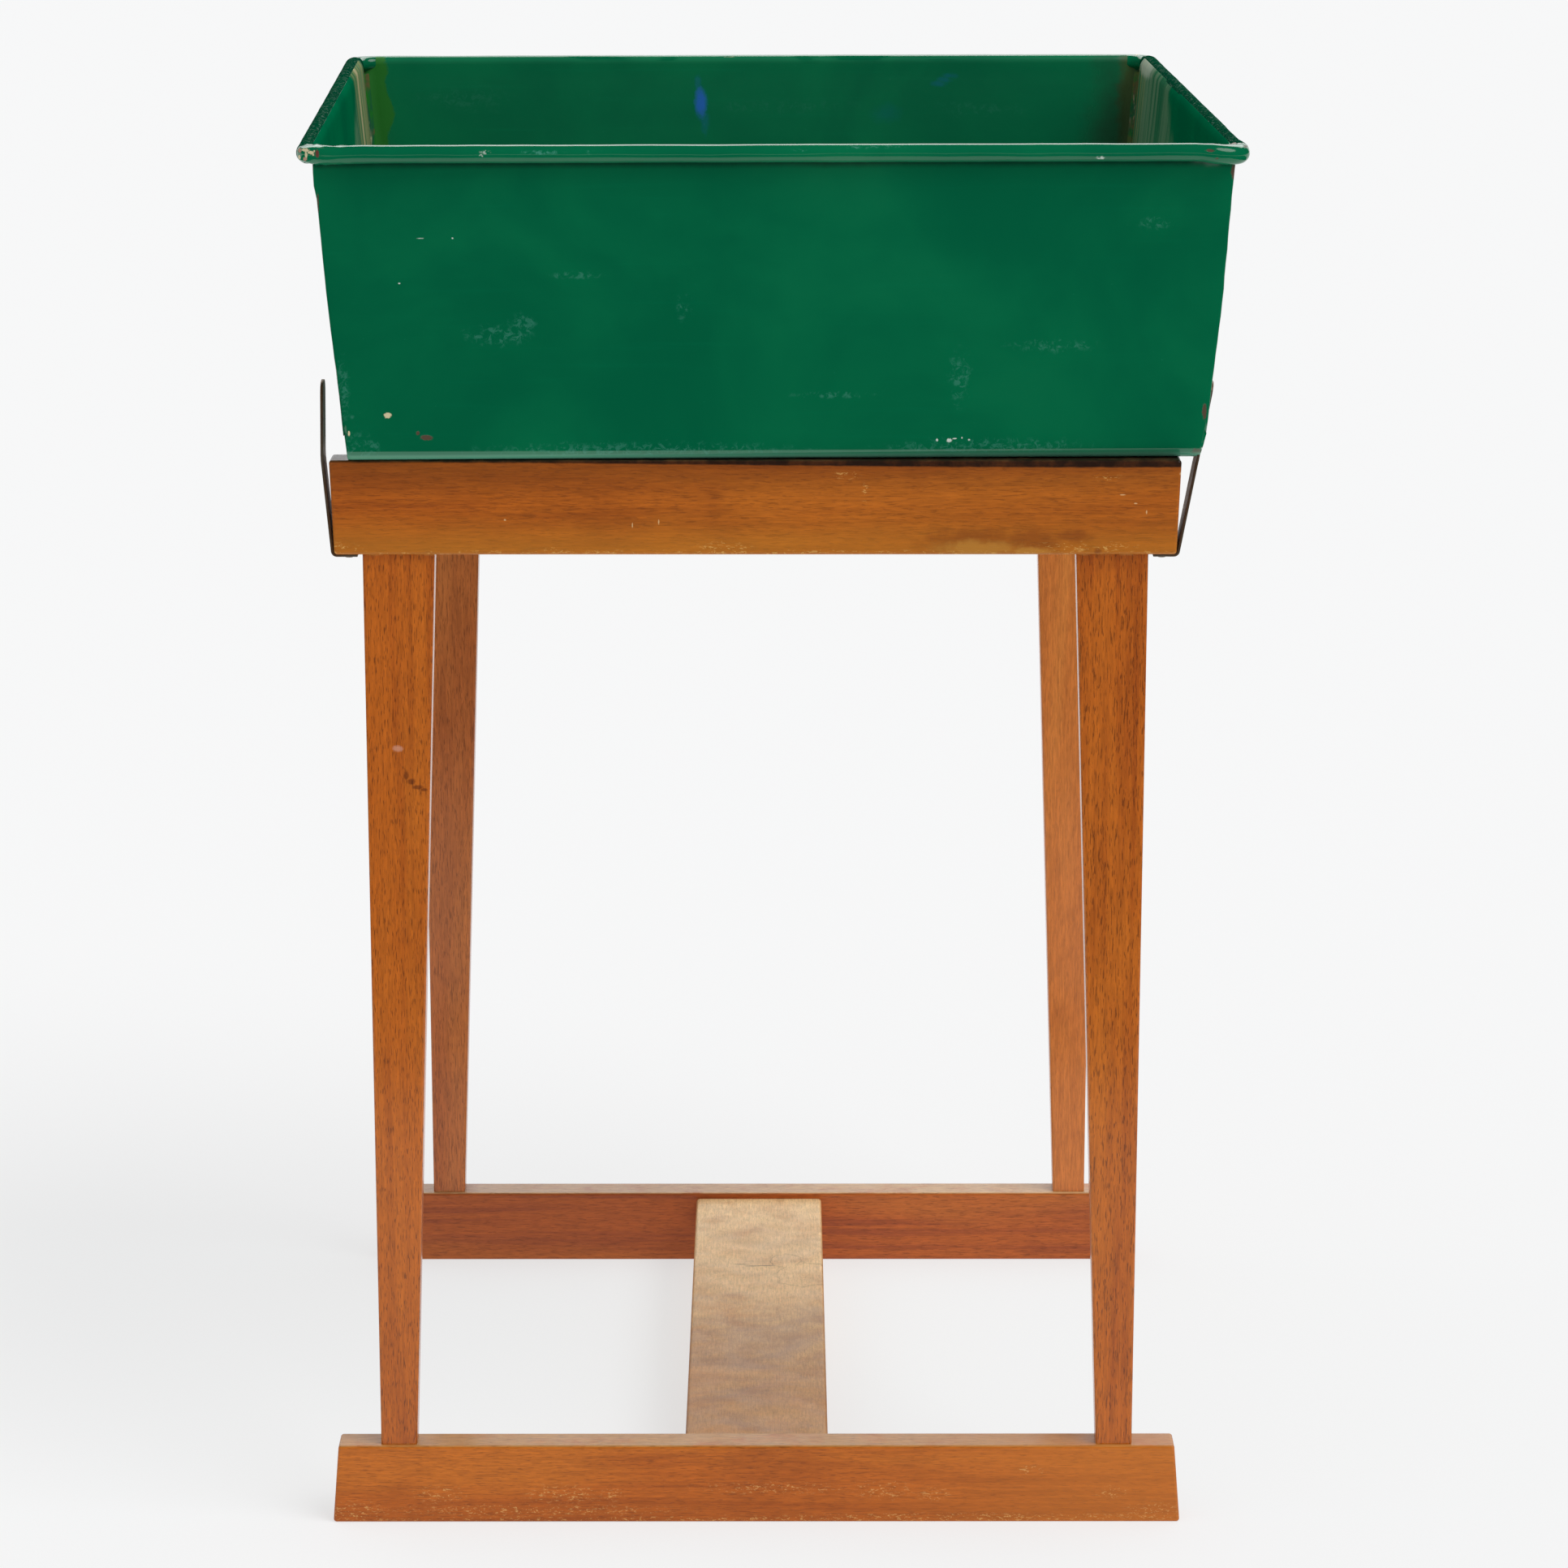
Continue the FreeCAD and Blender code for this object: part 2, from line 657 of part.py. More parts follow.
def rim_path(body):
    """The rim's centre line: a rectangle with rounded corners, from its middle on +X."""
    half_x = SIZES["rim_width"] / 2
    half_y = SIZES["rim_length"] / 2
    turn = SIZES["rim_corner"]
    path = new_sketch(body, "path", "XY", "rim_height")
    at = FreeCAD.Vector(half_x, 0, 0)
    lines = []
    arcs = []
    for quarter, (sx, sy) in enumerate(CORNERS):
        middle = FreeCAD.Vector(sx * (half_x - turn), sy * (half_y - turn), 0)
        start = math.radians(90 * quarter)
        along = FreeCAD.Vector(math.cos(start), math.sin(start), 0) * turn
        after = FreeCAD.Vector(-math.sin(start), math.cos(start), 0) * turn
        lines.append(path.addGeometry(Part.LineSegment(at, middle + along)))
        circle = Part.Circle(middle, FreeCAD.Vector(0, 0, 1), turn)
        arcs.append(path.addGeometry(Part.ArcOfCircle(circle, start, start + math.pi / 2)))
        at = middle + after
    lines.append(path.addGeometry(Part.LineSegment(at, FreeCAD.Vector(half_x, 0, 0))))
    for i, arc in enumerate(arcs):
        path.addConstraint(Sketcher.Constraint("Tangent", lines[i], 2, arc, 1))
        path.addConstraint(Sketcher.Constraint("Tangent", arc, 2, lines[i + 1], 1))
        if i:
            path.addConstraint(Sketcher.Constraint("Equal", arcs[0], arc))
    path.addConstraint(Sketcher.Constraint("Coincident", lines[4], 2, lines[0], 1))
    path.addConstraint(Sketcher.Constraint("PointOnObject", lines[0], 1, -1))
    for i, kind in enumerate(("Vertical", "Horizontal", "Vertical", "Horizontal", "Vertical")):
        path.addConstraint(Sketcher.Constraint(kind, lines[i]))
    bind(path, "Radius", (arcs[0],), "rim_corner", turn)
    bind(path, "DistanceX", (-1, 1, lines[0], 1), "rim_width / 2", half_x)
    bind(path, "DistanceX", (-1, 1, lines[2], 1), "- rim_width / 2", -half_x)
    bind(path, "DistanceY", (-1, 1, lines[1], 1), "rim_length / 2", half_y)
    bind(path, "DistanceY", (-1, 1, lines[3], 1), "- rim_length / 2", -half_y)
    doc.recompute()
    return path


def make_rim(label, radii):
    """A round bar right round the rim, or a tube if there is a second, inner radius."""
    body = new_body(label)
    path = rim_path(body)
    for kind, radius in zip(("Additive", "Subtractive"), radii):
        section = new_sketch(body, f"{kind}_section", "XZ")
        add_circle(section, "rim_width / 2", "rim_height", radius)
        doc.recompute()
        pipe = body.newObject(f"PartDesign::{kind}Pipe", f"{label}_{kind}_pipe")
        pipe.Profile = section
        pipe.Spine = path
        doc.recompute()
    place_on_rails(body)


def make_corner_solder():
    """Four upright fillets of solder in the trough's inner corners."""
    group = doc.addObject("Part::Compound", "corner_solder")
    strips = []
    heights = ("pan_bend", "wall_height - wall_drop")
    for number, (sx, sy) in enumerate(CORNERS):
        strip = doc.addObject("PartDesign::Body", f"solder_{number}")
        sections = []
        for height in heights:
            x = f"( {pan_width(height)} / 2 - sheet * 2 - seam_gap )"
            y = f"( {pan_length(height)} / 2 - sheet - seam_gap )"
            sections.append([
                (f"{sx} * {x}", f"{sy} * {y}"),
                (f"{sx} * ( {x} - solder )", f"{sy} * {y}"),
                (f"{sx} * {x}", f"{sy} * ( {y} - solder )"),
            ])
        loft(strip, "run", *heights, *sections)
        strips.append(strip)
    group.Links = strips
    group.Label = "corner_solder"
    subparts.append(group)
    place_on_rails(group)


# ------------------------------------------------------------------- assembly


def build():
    fill_sheet()
    front = "- frame_pitch / 2"
    rear = "frame_pitch / 2"
    for end_name, y, turn in (("front", front, "0"), ("rear", rear, "180")):
        make_runner(f"{end_name}_runner", y, turn)
        for side_name, side in (("left", -1), ("right", 1)):
            make_leg(f"{end_name}_{side_name}_leg", side, y)
        make_rail(f"{end_name}_top_rail", y, turn)
    make_board()
    make_dowels("front_stretcher_dowels", -1)
    make_dowels("rear_stretcher_dowels", 1)
    for name, side, end, lean, top_lean in CLIPS:
        make_clip_foot(name, side, end)
        make_clip_arm(name, side, end, lean, top_lean)
        make_clip_screw(name, side, end)
    make_trough_sheet()
    make_side_sheet("pan_left_side", -1)
    make_side_sheet("pan_right_side", 1)
    make_rim("rolled_rim", ("roll_radius", "roll_radius - sheet"))
    make_rim("rim_wire", ("wire_radius",))
    make_corner_solder()
    doc.recompute()


def check():
    for thing in doc.Objects:
        if "Invalid" in thing.State or "Error" in thing.State:
            raise RuntimeError(f"{thing.Name} failed: {thing.State}")
    for thing in subparts:
        if thing.Shape.isNull() or not thing.Shape.isValid():
            raise RuntimeError(f"{thing.Label} has no valid shape")


def export():
    os.makedirs("parts", exist_ok=True)
    for thing in subparts:
        thing.Shape.exportStep(f"parts/{thing.Label}.step")
        box = thing.Shape.BoundBox
        print(
            f"{thing.Label:26s} solids {len(thing.Shape.Solids)} volume {thing.Shape.Volume:11.1f}"
            f"  x {box.XMin:7.1f} {box.XMax:7.1f}  y {box.YMin:7.1f} {box.YMax:7.1f}"
            f"  z {box.ZMin:6.1f} {box.ZMax:6.1f}"
        )


build()
check()
export()
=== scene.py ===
import math

import bpy
from mathutils import Matrix, Vector, noise


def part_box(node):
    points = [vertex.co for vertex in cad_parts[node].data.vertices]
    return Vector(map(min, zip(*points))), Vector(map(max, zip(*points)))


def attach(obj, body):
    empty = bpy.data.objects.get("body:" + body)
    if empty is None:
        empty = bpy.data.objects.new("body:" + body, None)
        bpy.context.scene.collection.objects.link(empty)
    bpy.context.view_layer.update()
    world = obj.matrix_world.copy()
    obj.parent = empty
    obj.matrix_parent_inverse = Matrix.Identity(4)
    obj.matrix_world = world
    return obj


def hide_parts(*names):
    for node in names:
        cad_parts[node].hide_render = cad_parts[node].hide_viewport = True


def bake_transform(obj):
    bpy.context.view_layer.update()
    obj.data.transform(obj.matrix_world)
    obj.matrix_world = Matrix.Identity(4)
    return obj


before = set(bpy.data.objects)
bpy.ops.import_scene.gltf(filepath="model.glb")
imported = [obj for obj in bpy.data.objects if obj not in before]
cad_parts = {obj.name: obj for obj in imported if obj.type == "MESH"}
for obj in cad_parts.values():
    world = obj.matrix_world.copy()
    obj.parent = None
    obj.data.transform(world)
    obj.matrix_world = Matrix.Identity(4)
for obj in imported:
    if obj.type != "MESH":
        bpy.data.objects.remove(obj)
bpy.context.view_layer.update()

# A green-painted sheet-steel trough with a rolled, wired rim stands loose on a
# wooden trestle stand, between four strips of spring steel.  Metres, Z up; the
# wooden pieces are the frame's own nodes with new materials, and the trough's
# sheets, its rim and the four strips are rebuilt here in the frame's places.

MM = 0.001

# ------------------------------------------------------------------ the camera

CAMERA_PLACE = (0.0091, -2.7098, 0.9120)
CAMERA_PITCH = 12.52            # degrees below the horizon
CAMERA_YAW = -0.09
LENS = 127.5
SENSOR = 36.0

camera = bpy.data.objects.new("camera", bpy.data.cameras.new("camera"))
camera.data.lens = LENS
camera.data.sensor_width = SENSOR
camera.location = CAMERA_PLACE
camera.rotation_euler = (math.radians(90 - CAMERA_PITCH), 0, math.radians(CAMERA_YAW))
bpy.context.collection.objects.link(camera)
bpy.context.scene.camera = camera
bpy.context.scene.view_settings.view_transform = "Standard"

# ------------------------------------------------------- short ways to do things


def colour(code):
    """Linear colour from a six-digit display colour."""
    parts = []
    for start in (0, 2, 4):
        value = int(code[start:start + 2], 16) / 255
        parts.append(value / 12.92 if value <= 0.04045 else ((value + 0.055) / 1.055) ** 2.4)
    return (*parts, 1.0)


class Shader:
    """A material's node tree, with short ways to add to it."""

    def __init__(self, name, kind="BsdfPrincipled"):
        self.material = bpy.data.materials.new(name)
        self.material.use_nodes = True
        self.nodes = self.material.node_tree.nodes
        self.links = self.material.node_tree.links
        self.nodes.clear()
        self.surface = self.nodes.new(f"ShaderNode{kind}")
        output = self.nodes.new("ShaderNodeOutputMaterial")
        self.links.new(self.surface.outputs[0], output.inputs[0])
        self.place = self.add("TexCoord", {}, "Object")

    def fill(self, node, inputs):
        """Link the sockets and set the plain values among a node's inputs."""
        for key, value in inputs.items():
            if isinstance(value, bpy.types.NodeSocket):
                self.links.new(value, node.inputs[key])
            else:
                node.inputs[key].default_value = value

    def finish(self, **inputs):
        """Fill the surface shader's inputs, named with _ for a space; gives the material."""
        self.fill(self.surface, {key.replace("_", " "): value for key, value in inputs.items()})
        return self.material

    def add(self, kind, inputs, out=0, **settings):
        """Add a node, with its inputs and settings; gives one of its outputs."""
        node = self.nodes.new(f"ShaderNode{kind}")
        for name, value in settings.items():
            setattr(node, name, value)
        self.fill(node, inputs)
        return node.outputs[out]

    def math(self, operation, a, b=0.0):
        return self.add("Math", {0: a, 1: b}, operation=operation)

    def stretch(self, scale, shift=(0, 0, 0), turn=(0, 0, 0)):
        """The place, scaled, turned and shifted."""
        return self.add("Mapping", {"Vector": self.place, "Scale": scale, "Location": shift,
                                    "Rotation": turn})

    def noise(self, vector, scale, detail=2.0, rough=0.5, bend=0.0):
        return self.add("TexNoise", {"Vector": vector, "Scale": scale, "Detail": detail,
                                     "Roughness": rough, "Distortion": bend})

    def step(self, value, low, high, out_low=0.0, out_high=1.0):
        """out_low below low, out_high above high, and smooth between."""
        return self.add("MapRange", {"Value": value, "From Min": low, "From Max": high,
                                     "To Min": out_low, "To Max": out_high},
                        interpolation_type="SMOOTHSTEP")

    def mix(self, amount, a, b, blend="MIX"):
        return self.add("Mix", {0: amount, 6: a, 7: b}, 2, data_type="RGBA", blend_type=blend)

    def bump(self, height, distance, strength=1.0):
        return self.add("Bump", {"Height": height, "Distance": distance, "Strength": strength})

    def spots(self, marks, ragged, edge=0.12):
        """1 on each mark and 0 off it. A mark is its middle and its three radii, in mm."""
        nearest = None
        for x, y, z, rx, ry, rz in marks:
            scale = (1 / (rx * MM), 1 / (ry * MM), 1 / (rz * MM))
            shift = (-x / rx, -y / ry, -z / rz)
            reach = self.add("VectorMath", {0: self.stretch(scale, shift)}, "Value",
                             operation="LENGTH")
            nearest = reach if nearest is None else self.math("MINIMUM", nearest, reach)
        return self.step(self.math("ADD", nearest, ragged), 1.0 - edge, 1.0 + edge, 1.0, 0.0)

    def ragged(self, scale, amount):
        """Noise about 0, for the edges of marks."""
        return self.math("MULTIPLY", self.math(
            "SUBTRACT", self.noise(self.place, scale, 4, 0.65), 0.5), amount)

    def faces_up(self):
        """1 on faces that look up, 0 on the others."""
        up = self.add("SeparateXYZ", {0: self.add("NewGeometry", {}, "Normal")}, "Z")
        return self.step(up, 0.45, 0.9)


def new_object(name, verts, faces, material, body=None, smooth=True, matrix=None):
    """A mesh object that rides on a body of the frame, if one is named."""
    mesh = bpy.data.meshes.new(name)
    mesh.from_pydata(verts, [], faces)
    mesh.update()
    piece = bpy.data.objects.new(name, mesh)
    bpy.context.collection.objects.link(piece)
    if matrix is not None:
        piece.matrix_world = matrix
    mesh.materials.append(material)
    mesh.polygons.foreach_set("use_smooth", [smooth] * len(mesh.polygons))
    if body:
        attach(piece, body)
    return piece


def quads(rows, columns, first=0, ring=False):
    """Faces of a grid of rows x columns vertices; ring joins each row's two ends."""
    faces = []
    for row in range(rows - 1):
        for column in range(columns if ring else columns - 1):
            after = (column + 1) % columns
            low = first + row * columns
            high = low + columns
            faces.append((low + column, low + after, high + after, high + column))
    return faces


def flipped(faces):
    """The same faces, looking the other way."""
    return [face[::-1] for face in faces]


def smoothstep(value, low, high):
    """0 below low, 1 above high, smooth between."""
    t = min(max((value - low) / (high - low), 0.0), 1.0)
    return t * t * (3 - 2 * t)


def hump(value, low, middle, high):
    """0 at low and high, 1 at the middle, smooth between."""
    return smoothstep(value, low, middle) * (1 - smoothstep(value, middle, high))


# ------------------------------------------------------------------- the woods


def wood(name, grain, tones, seed, streaky=0.5, dark_pores=0.5, extra=None, coat=0.7):
    """Varnished, worn wood. grain is the axis (0, 1, 2) along which it runs.

    tones are its dark, middle and pale colours and the paler colour of its upper faces, partly
    wear and partly a painted sheen; extra is a step that adds a piece's own marks.
    """
    s = Shader(name)
    deep, middle, pale, top_wear_and_sheen_tone = tones

    def along(across, ratio, offset=0.0):
        scale = [across] * 3
        scale[grain] = across * ratio
        return s.stretch(scale, (seed + offset, seed * 1.7 + offset, seed * 2.3 - offset))

    broad = s.noise(along(26, 0.12), 1, 3, 0.5, 0.6)
    streak = s.noise(along(240, 0.03, 3), 1, 3, 0.55)
    fibre = s.noise(along(1500, 0.03, 7), 1, 2, 0.6)
    pores = s.noise(along(2100, 0.10, 11), 1, 1, 0.5)
    ripple = s.noise(along(900, 0.13, 5), 1, 3, 0.65)
    blotch = s.noise(s.place, 15 + seed, 3, 0.55, 0.3)

    tone = s.mix(s.step(streak, 0.42, 0.68, 0.0, streaky), middle, deep)
    tone = s.mix(s.step(broad, 0.46, 0.72, 0.0, 0.7), tone, pale)
    tone = s.mix(s.step(blotch, 0.52, 0.78, 0.0, 0.4), tone, deep)

    # Upper faces turn paler: partly wear, partly a painted sheen.
    up = s.faces_up()
    top_wear_and_sheen = s.mix(s.step(s.noise(s.place, 45 + seed, 4, 0.6), 0.45, 0.85), top_wear_and_sheen_tone, middle)
    tone = s.mix(s.math("MULTIPLY", up, 0.85), tone, top_wear_and_sheen)

    shade = s.math("MULTIPLY", s.step(fibre, 0.3, 0.7, 0.91, 1.06),
                   s.step(ripple, 0.32, 0.68, 0.88, 1.10))
    tone = s.mix(1.0, tone, s.add("CombineColor", {0: shade, 1: shade, 2: shade}), "MULTIPLY")
    fleck = s.step(pores, 0.585, 0.66)
    tone = s.mix(s.math("MULTIPLY", fleck, dark_pores), tone, colour("3A1505"))

    rim = s.add("Bevel", {"Radius": 1.8 * MM}, samples=4)
    turn = s.add("VectorMath", {0: rim, 1: s.add("NewGeometry", {}, "Normal")}, "Value",
                 operation="DOT_PRODUCT")
    bare = s.math("MULTIPLY", s.step(turn, 0.985, 0.86),
                  s.step(s.noise(s.place, 150, 4, 0.7), 0.44, 0.64))
    tone = s.mix(s.math("MULTIPLY", bare, 0.55), tone, colour("DDA85A"))

    nick = s.step(s.noise(s.stretch((380, 380, 380), (seed, 0, 2)), 1, 5, 0.75), 0.745, 0.78)
    tone = s.mix(s.math("MULTIPLY", nick, 0.5), tone, colour("E8BC78"))
    if extra:
        tone = extra(s, tone)

    height = s.math("SUBTRACT", s.math("MULTIPLY", s.math("ADD", fibre, ripple), 0.5), fleck)
    rough = s.step(s.noise(s.place, 60, 3), 0.3, 0.7, 0.40, 0.58)
    return s.finish(Base_Color=tone, Roughness=rough, Specular_IOR_Level=0.1,
                    Coat_Weight=coat, Coat_Roughness=0.16,
                    Normal=s.bump(height, 0.10 * MM, 0.5))


def marked(marks, tint, amount, raggedness=(900, 1.2), edge=0.25):
    """An extra step for wood(): marks of one tint."""
    def step(s, tone):
        spot = s.spots(marks, s.ragged(*raggedness), edge)
        return s.mix(s.math("MULTIPLY", spot, amount), tone, colour(tint))
    return step


def scraped(marks, tint, amount, size=(380, 1000, 1000), share=0.54):
    """An extra step for wood(): patches of short strokes where the finish is scraped."""
    def step(s, tone):
        strokes = s.noise(s.stretch(size, (1, 2, 3), (0, 0.5, 0)), 1, 4, 0.7, 0.6)
        patch = s.spots(marks, s.ragged(200, 1.0), 0.6)
        worn = s.math("MULTIPLY", patch, s.step(strokes, share, share + 0.05))
        return s.mix(s.math("MULTIPLY", worn, amount), tone, colour(tint))
    return step


def several(*steps):
    """An extra step for wood() made of others, one after the other."""
    def step(s, tone):
        for one in steps:
            tone = one(s, tone)
        return tone
    return step


def shaded(axis, start, end, tint, amount, waver=6):
    """An extra step for wood(): a tint that grows from start to end along an axis."""
    def step(s, tone):
        at = s.add("SeparateXYZ", {0: s.place}, axis)
        at = s.math("ADD", at, s.ragged(35, waver * MM))
        if start < end:
            grown = s.step(at, start * MM, end * MM, 0.0, amount)
        else:
            grown = s.step(at, end * MM, start * MM, amount, 0.0)
        return s.mix(grown, tone, colour(tint))
    return step


def shade_under_trough(s, tone):
    """The rails' upper faces are painted nearly black where the trough sits on them, a painted
    shade, made patchy with noise.

    The painted shade also runs over the upper edge, and lower down towards the right end.
    """
    z = s.add("SeparateXYZ", {0: s.place}, "Z")
    x = s.add("SeparateXYZ", {0: s.place}, "X")
    run = s.math("ADD", s.step(x, -0.170, 0.150, 0.0, 2.3 * MM), s.ragged(160, 0.8 * MM))
    hidden = s.math("MULTIPLY", s.step(s.math("ADD", z, run), 0.5074, 0.5084),
                    s.step(x, -0.187, -0.178, 0.85, 1.0))
    shade_patches = s.step(s.noise(s.place, 90, 4, 0.65), 0.3, 0.6, 0.75, 0.95)
    return s.mix(s.math("MULTIPLY", hidden, shade_patches), tone, colour("140C07"))


def board_stains(s, tone):
    """Darker towards the front end, a painted shade that leaves the rear paler as under its
    sheen; bands of orange and grey-brown wear, and a short crack.
    """
    y = s.math("ADD", s.add("SeparateXYZ", {0: s.place}, "Y"), s.ragged(18, 0.10))
    # Painted shade: the board's front end is darkened and warmed, and the rear is left paler.
    near = s.step(y, -0.14, 0.17, 1.0, 0.0)
    tone = s.mix(near, tone, s.mix(1.0, tone, (0.56, 0.41, 0.26, 1.0), "MULTIPLY"))
    stained = s.math("ADD", s.math("MULTIPLY", near, 0.3), 0.25)
    warm = s.noise(s.stretch((20, 24, 14), (4.1, 2.2, 0)), 1, 5, 0.65, 0.8)
    tone = s.mix(s.math("MULTIPLY", s.step(warm, 0.42, 0.70), stained), tone, colour("C8843E"))
    grey = s.noise(s.stretch((16, 22, 12), (1.3, 0.4, 0)), 1, 6, 0.68, 0.4)
    tone = s.mix(s.math("MULTIPLY", s.step(grey, 0.42, 0.72), stained), tone, colour("8A6452"))
    dots = s.noise(s.place, 1100, 3, 0.7)
    tone = s.mix(s.step(dots, 0.55, 0.72, 0.0, 0.4), tone, colour("6A4A30"))
    ring = s.spots([(24, 62, 35, 15, 22, 4), (14, 84, 35, 9, 12, 4)], s.ragged(60, 1.1), 0.05)
    inner = s.spots([(24, 62, 35, 14, 20.5, 4), (14, 84, 35, 8, 11, 4)], s.ragged(60, 1.1), 0.05)
    rim = s.math("SUBTRACT", ring, inner)
    tone = s.mix(s.math("MULTIPLY", rim, 0.35), tone, colour("6B4A25"))
    crack = s.spots([(-9, 79, 35, 4.0, 0.5, 3), (-3, 76, 35, 4.0, 0.5, 3),
                     (4, 76.5, 35, 5.0, 0.45, 3)], s.ragged(300, 0.8), 0.25)
    return s.mix(s.math("MULTIPLY", crack, 0.85), tone, colour("3A2410"))


rail_blotch = several(
    marked([(99, -217, 470, 19, 9, 7), (126, -217, 471, 14, 9, 5), (144, -217, 474, 9, 9, 2.5)],
           "7A3B10", 0.55, (160, 1.6), 0.6),
    marked([(100, -217, 468, 16, 9, 3.6), (126, -217, 467, 8, 9, 1.6)],
           "C58B36", 0.6, (160, 1.6), 0.6),
    marked([(156, -217, 467, 1.6, 9, 1.2)], "6A2E10", 0.5, (400, 1.2), 0.5))
rail_scrapes = scraped(
    [(-14, -217, 469, 10, 9, 2.4), (150, -217, 469, 20, 9, 2), (-190, -217, 468, 9, 9, 2.6),
     (-96, -217, 467, 8, 9, 1.6), (42, -217, 502, 5, 9, 1.8), (50, -217, 494, 1.4, 9, 5),
     (160, -217, 501, 5, 9, 1.6), (0, -217, 466, 190, 9, 1.3)],
    "EBBB68", 0.5, share=0.56)
rail_nicks = marked([(193.6, -217, 502.6, 0.8, 4, 0.8), (-44, -217, 480.5, 0.3, 4, 1.1),
                     (-56, -217, 479, 0.25, 4, 1.1), (-114, -217, 481.5, 0.5, 4, 0.4),
                     (167, -217, 493, 1.2, 4, 0.25), (173, -217, 489, 0.7, 4, 0.3),
                     (178, -217, 485, 0.3, 4, 0.9)], "E8C890", 0.6, (900, 1.0), 0.4)
runner_scrapes = scraped(
    [(-92, -217, 14, 15, 9, 4.0), (-70, -217, 14, 6, 9, 3.0), (8, -217, 17, 30, 9, 2.6),
     (60, -217, 16, 12, 9, 4), (84, -217, 14, 6, 9, 3), (130, -217, 26, 6, 9, 2.0),
     (168, -217, 15, 6, 9, 2.6), (-150, -217, 14, 10, 9, 4), (-110, -217, 6, 60, 9, 2.6),
     (-190, -217, 5, 14, 9, 4.5), (100, -217, 3, 90, 9, 1.4), (188, -217, 5, 12, 9, 4),
     (0, -217, 1.5, 200, 9, 1.2)],
    "E4B068", 0.6, (500, 1300, 1300), share=0.565)
left_leg_marks = several(
    marked([(-164.5, -214, 374.5, 2.2, 4, 1.3)], "D49A80", 0.6, (900, 1.2), 0.4),
    marked([(-160.8, -214, 362, 1.2, 4, 2.0), (-158.6, -214, 359, 1.6, 4, 1.4),
            (-155.6, -214, 356.4, 2.4, 4, 1.0), (-152.6, -214, 355.2, 1.4, 4, 0.7)],
           "5A2408", 0.65, (500, 1.2), 0.4))

RAIL = [colour(code) for code in ("80380A", "AC5710", "BD6A1A", "C89A62")]
RUNNER = [colour(code) for code in ("93440C", "B95F17", "CB7420", "BC8C50")]
REAR_RUNNER = [colour(code) for code in ("8D4024", "B85C24", "C46E2C", "D8AE7C")]
NEAR_LEG = [colour(code) for code in ("94420A", "BC6113", "C76E1B", "CDA87C")]
REAR_LEFT = [colour(code) for code in ("954920", "B5612B", "C77639", "CDA87C")]
# The rear right leg's tones are lighter than the other legs', a painted light, as where light
# falls from the right.
REAR_RIGHT_LIT = [colour(code) for code in ("AC5A25", "D07733", "E59142", "CDA87C")]
# node: grain, tones, seed, streaky, dark_pores, extra and coat, as wood() takes them
WOODS = {
    # The front runner's tint towards the right end is a painted light, lighter where light comes
    # from the right.
    "front_runner": (0, RUNNER, 1.0, 0.55, 0.30, several(
        shaded("Z", 14, 4, "8E420E", 0.25), shaded("X", 20, 180, "D07C2A", 0.4),
        runner_scrapes), 0.4),
    # The rear runner is darker towards its left end, a painted shade.
    "rear_runner": (0, REAR_RUNNER, 7.3, 0.6, 0.30, shaded("X", 60, -60, "7A3614", 0.25), 0.45),
    # The front rail's face is darker towards the top, a painted shade under the trough, and more
    # golden towards the bottom; its upper faces carry the painted shade under the trough.
    "front_top_rail": (0, RAIL, 3.1, 0.45, 0.28, several(
        shaded("Z", 488, 508, "70390A", 0.5), shaded("Z", 488, 466, "BE7A22", 0.5),
        shade_under_trough, rail_blotch, rail_scrapes, rail_nicks), 0.4),
    "rear_top_rail": (0, RAIL, 5.7, 0.35, 0.15, shade_under_trough),
    "front_left_leg": (2, NEAR_LEG, 2.2, 0.5, 0.55, left_leg_marks),
    "front_right_leg": (2, NEAR_LEG, 9.4, 0.6, 0.55, None),
    "rear_left_leg": (2, REAR_LEFT, 4.8, 0.5, 0.4, None),
    "rear_right_leg": (2, REAR_RIGHT_LIT, 6.6, 0.2, 0.15, None),
}
BOARD = [colour(code) for code in ("B88A56", "DAA46C", "E8C08C", "FFD79E")]
BEECH = [colour(code) for code in ("B78654", "C99B68", "D8B184", "D8B184")]


def give(node_name, material):
    """Put a material on one of the frame's own nodes."""
    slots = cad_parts[node_name].data.materials
    slots.clear()
    slots.append(material)


for node_name, settings in WOODS.items():
    give(node_name, wood(f"{node_name}_wood", *settings))
give("stretcher_board", wood("board_wood", 1, BOARD, 8.2, 0.3, 0.15, board_stains, 0.15))
beech = wood("dowel_wood", 1, BEECH, 3.3, 0.3, 0.2)
for end_name in ("front", "rear"):
    give(f"{end_name}_stretcher_dowels", beech)

# --------------------------------------------------------- green paint on steel

GREEN = colour("006842")
GREEN_LOW = colour("005C3C")
GREEN_HIGH = colour("00744E")
CREAM = colour("D8C9A0")
PINK = colour("C98F7C")
RUST = colour("5B3A2A")
TEAL = colour("3F9682")
WHITE = colour("E6EDE6")
OLIVE = colour("1B7F12")
BLUE = colour("0A66D2")
GREY_GREEN = colour("7F9A7C")


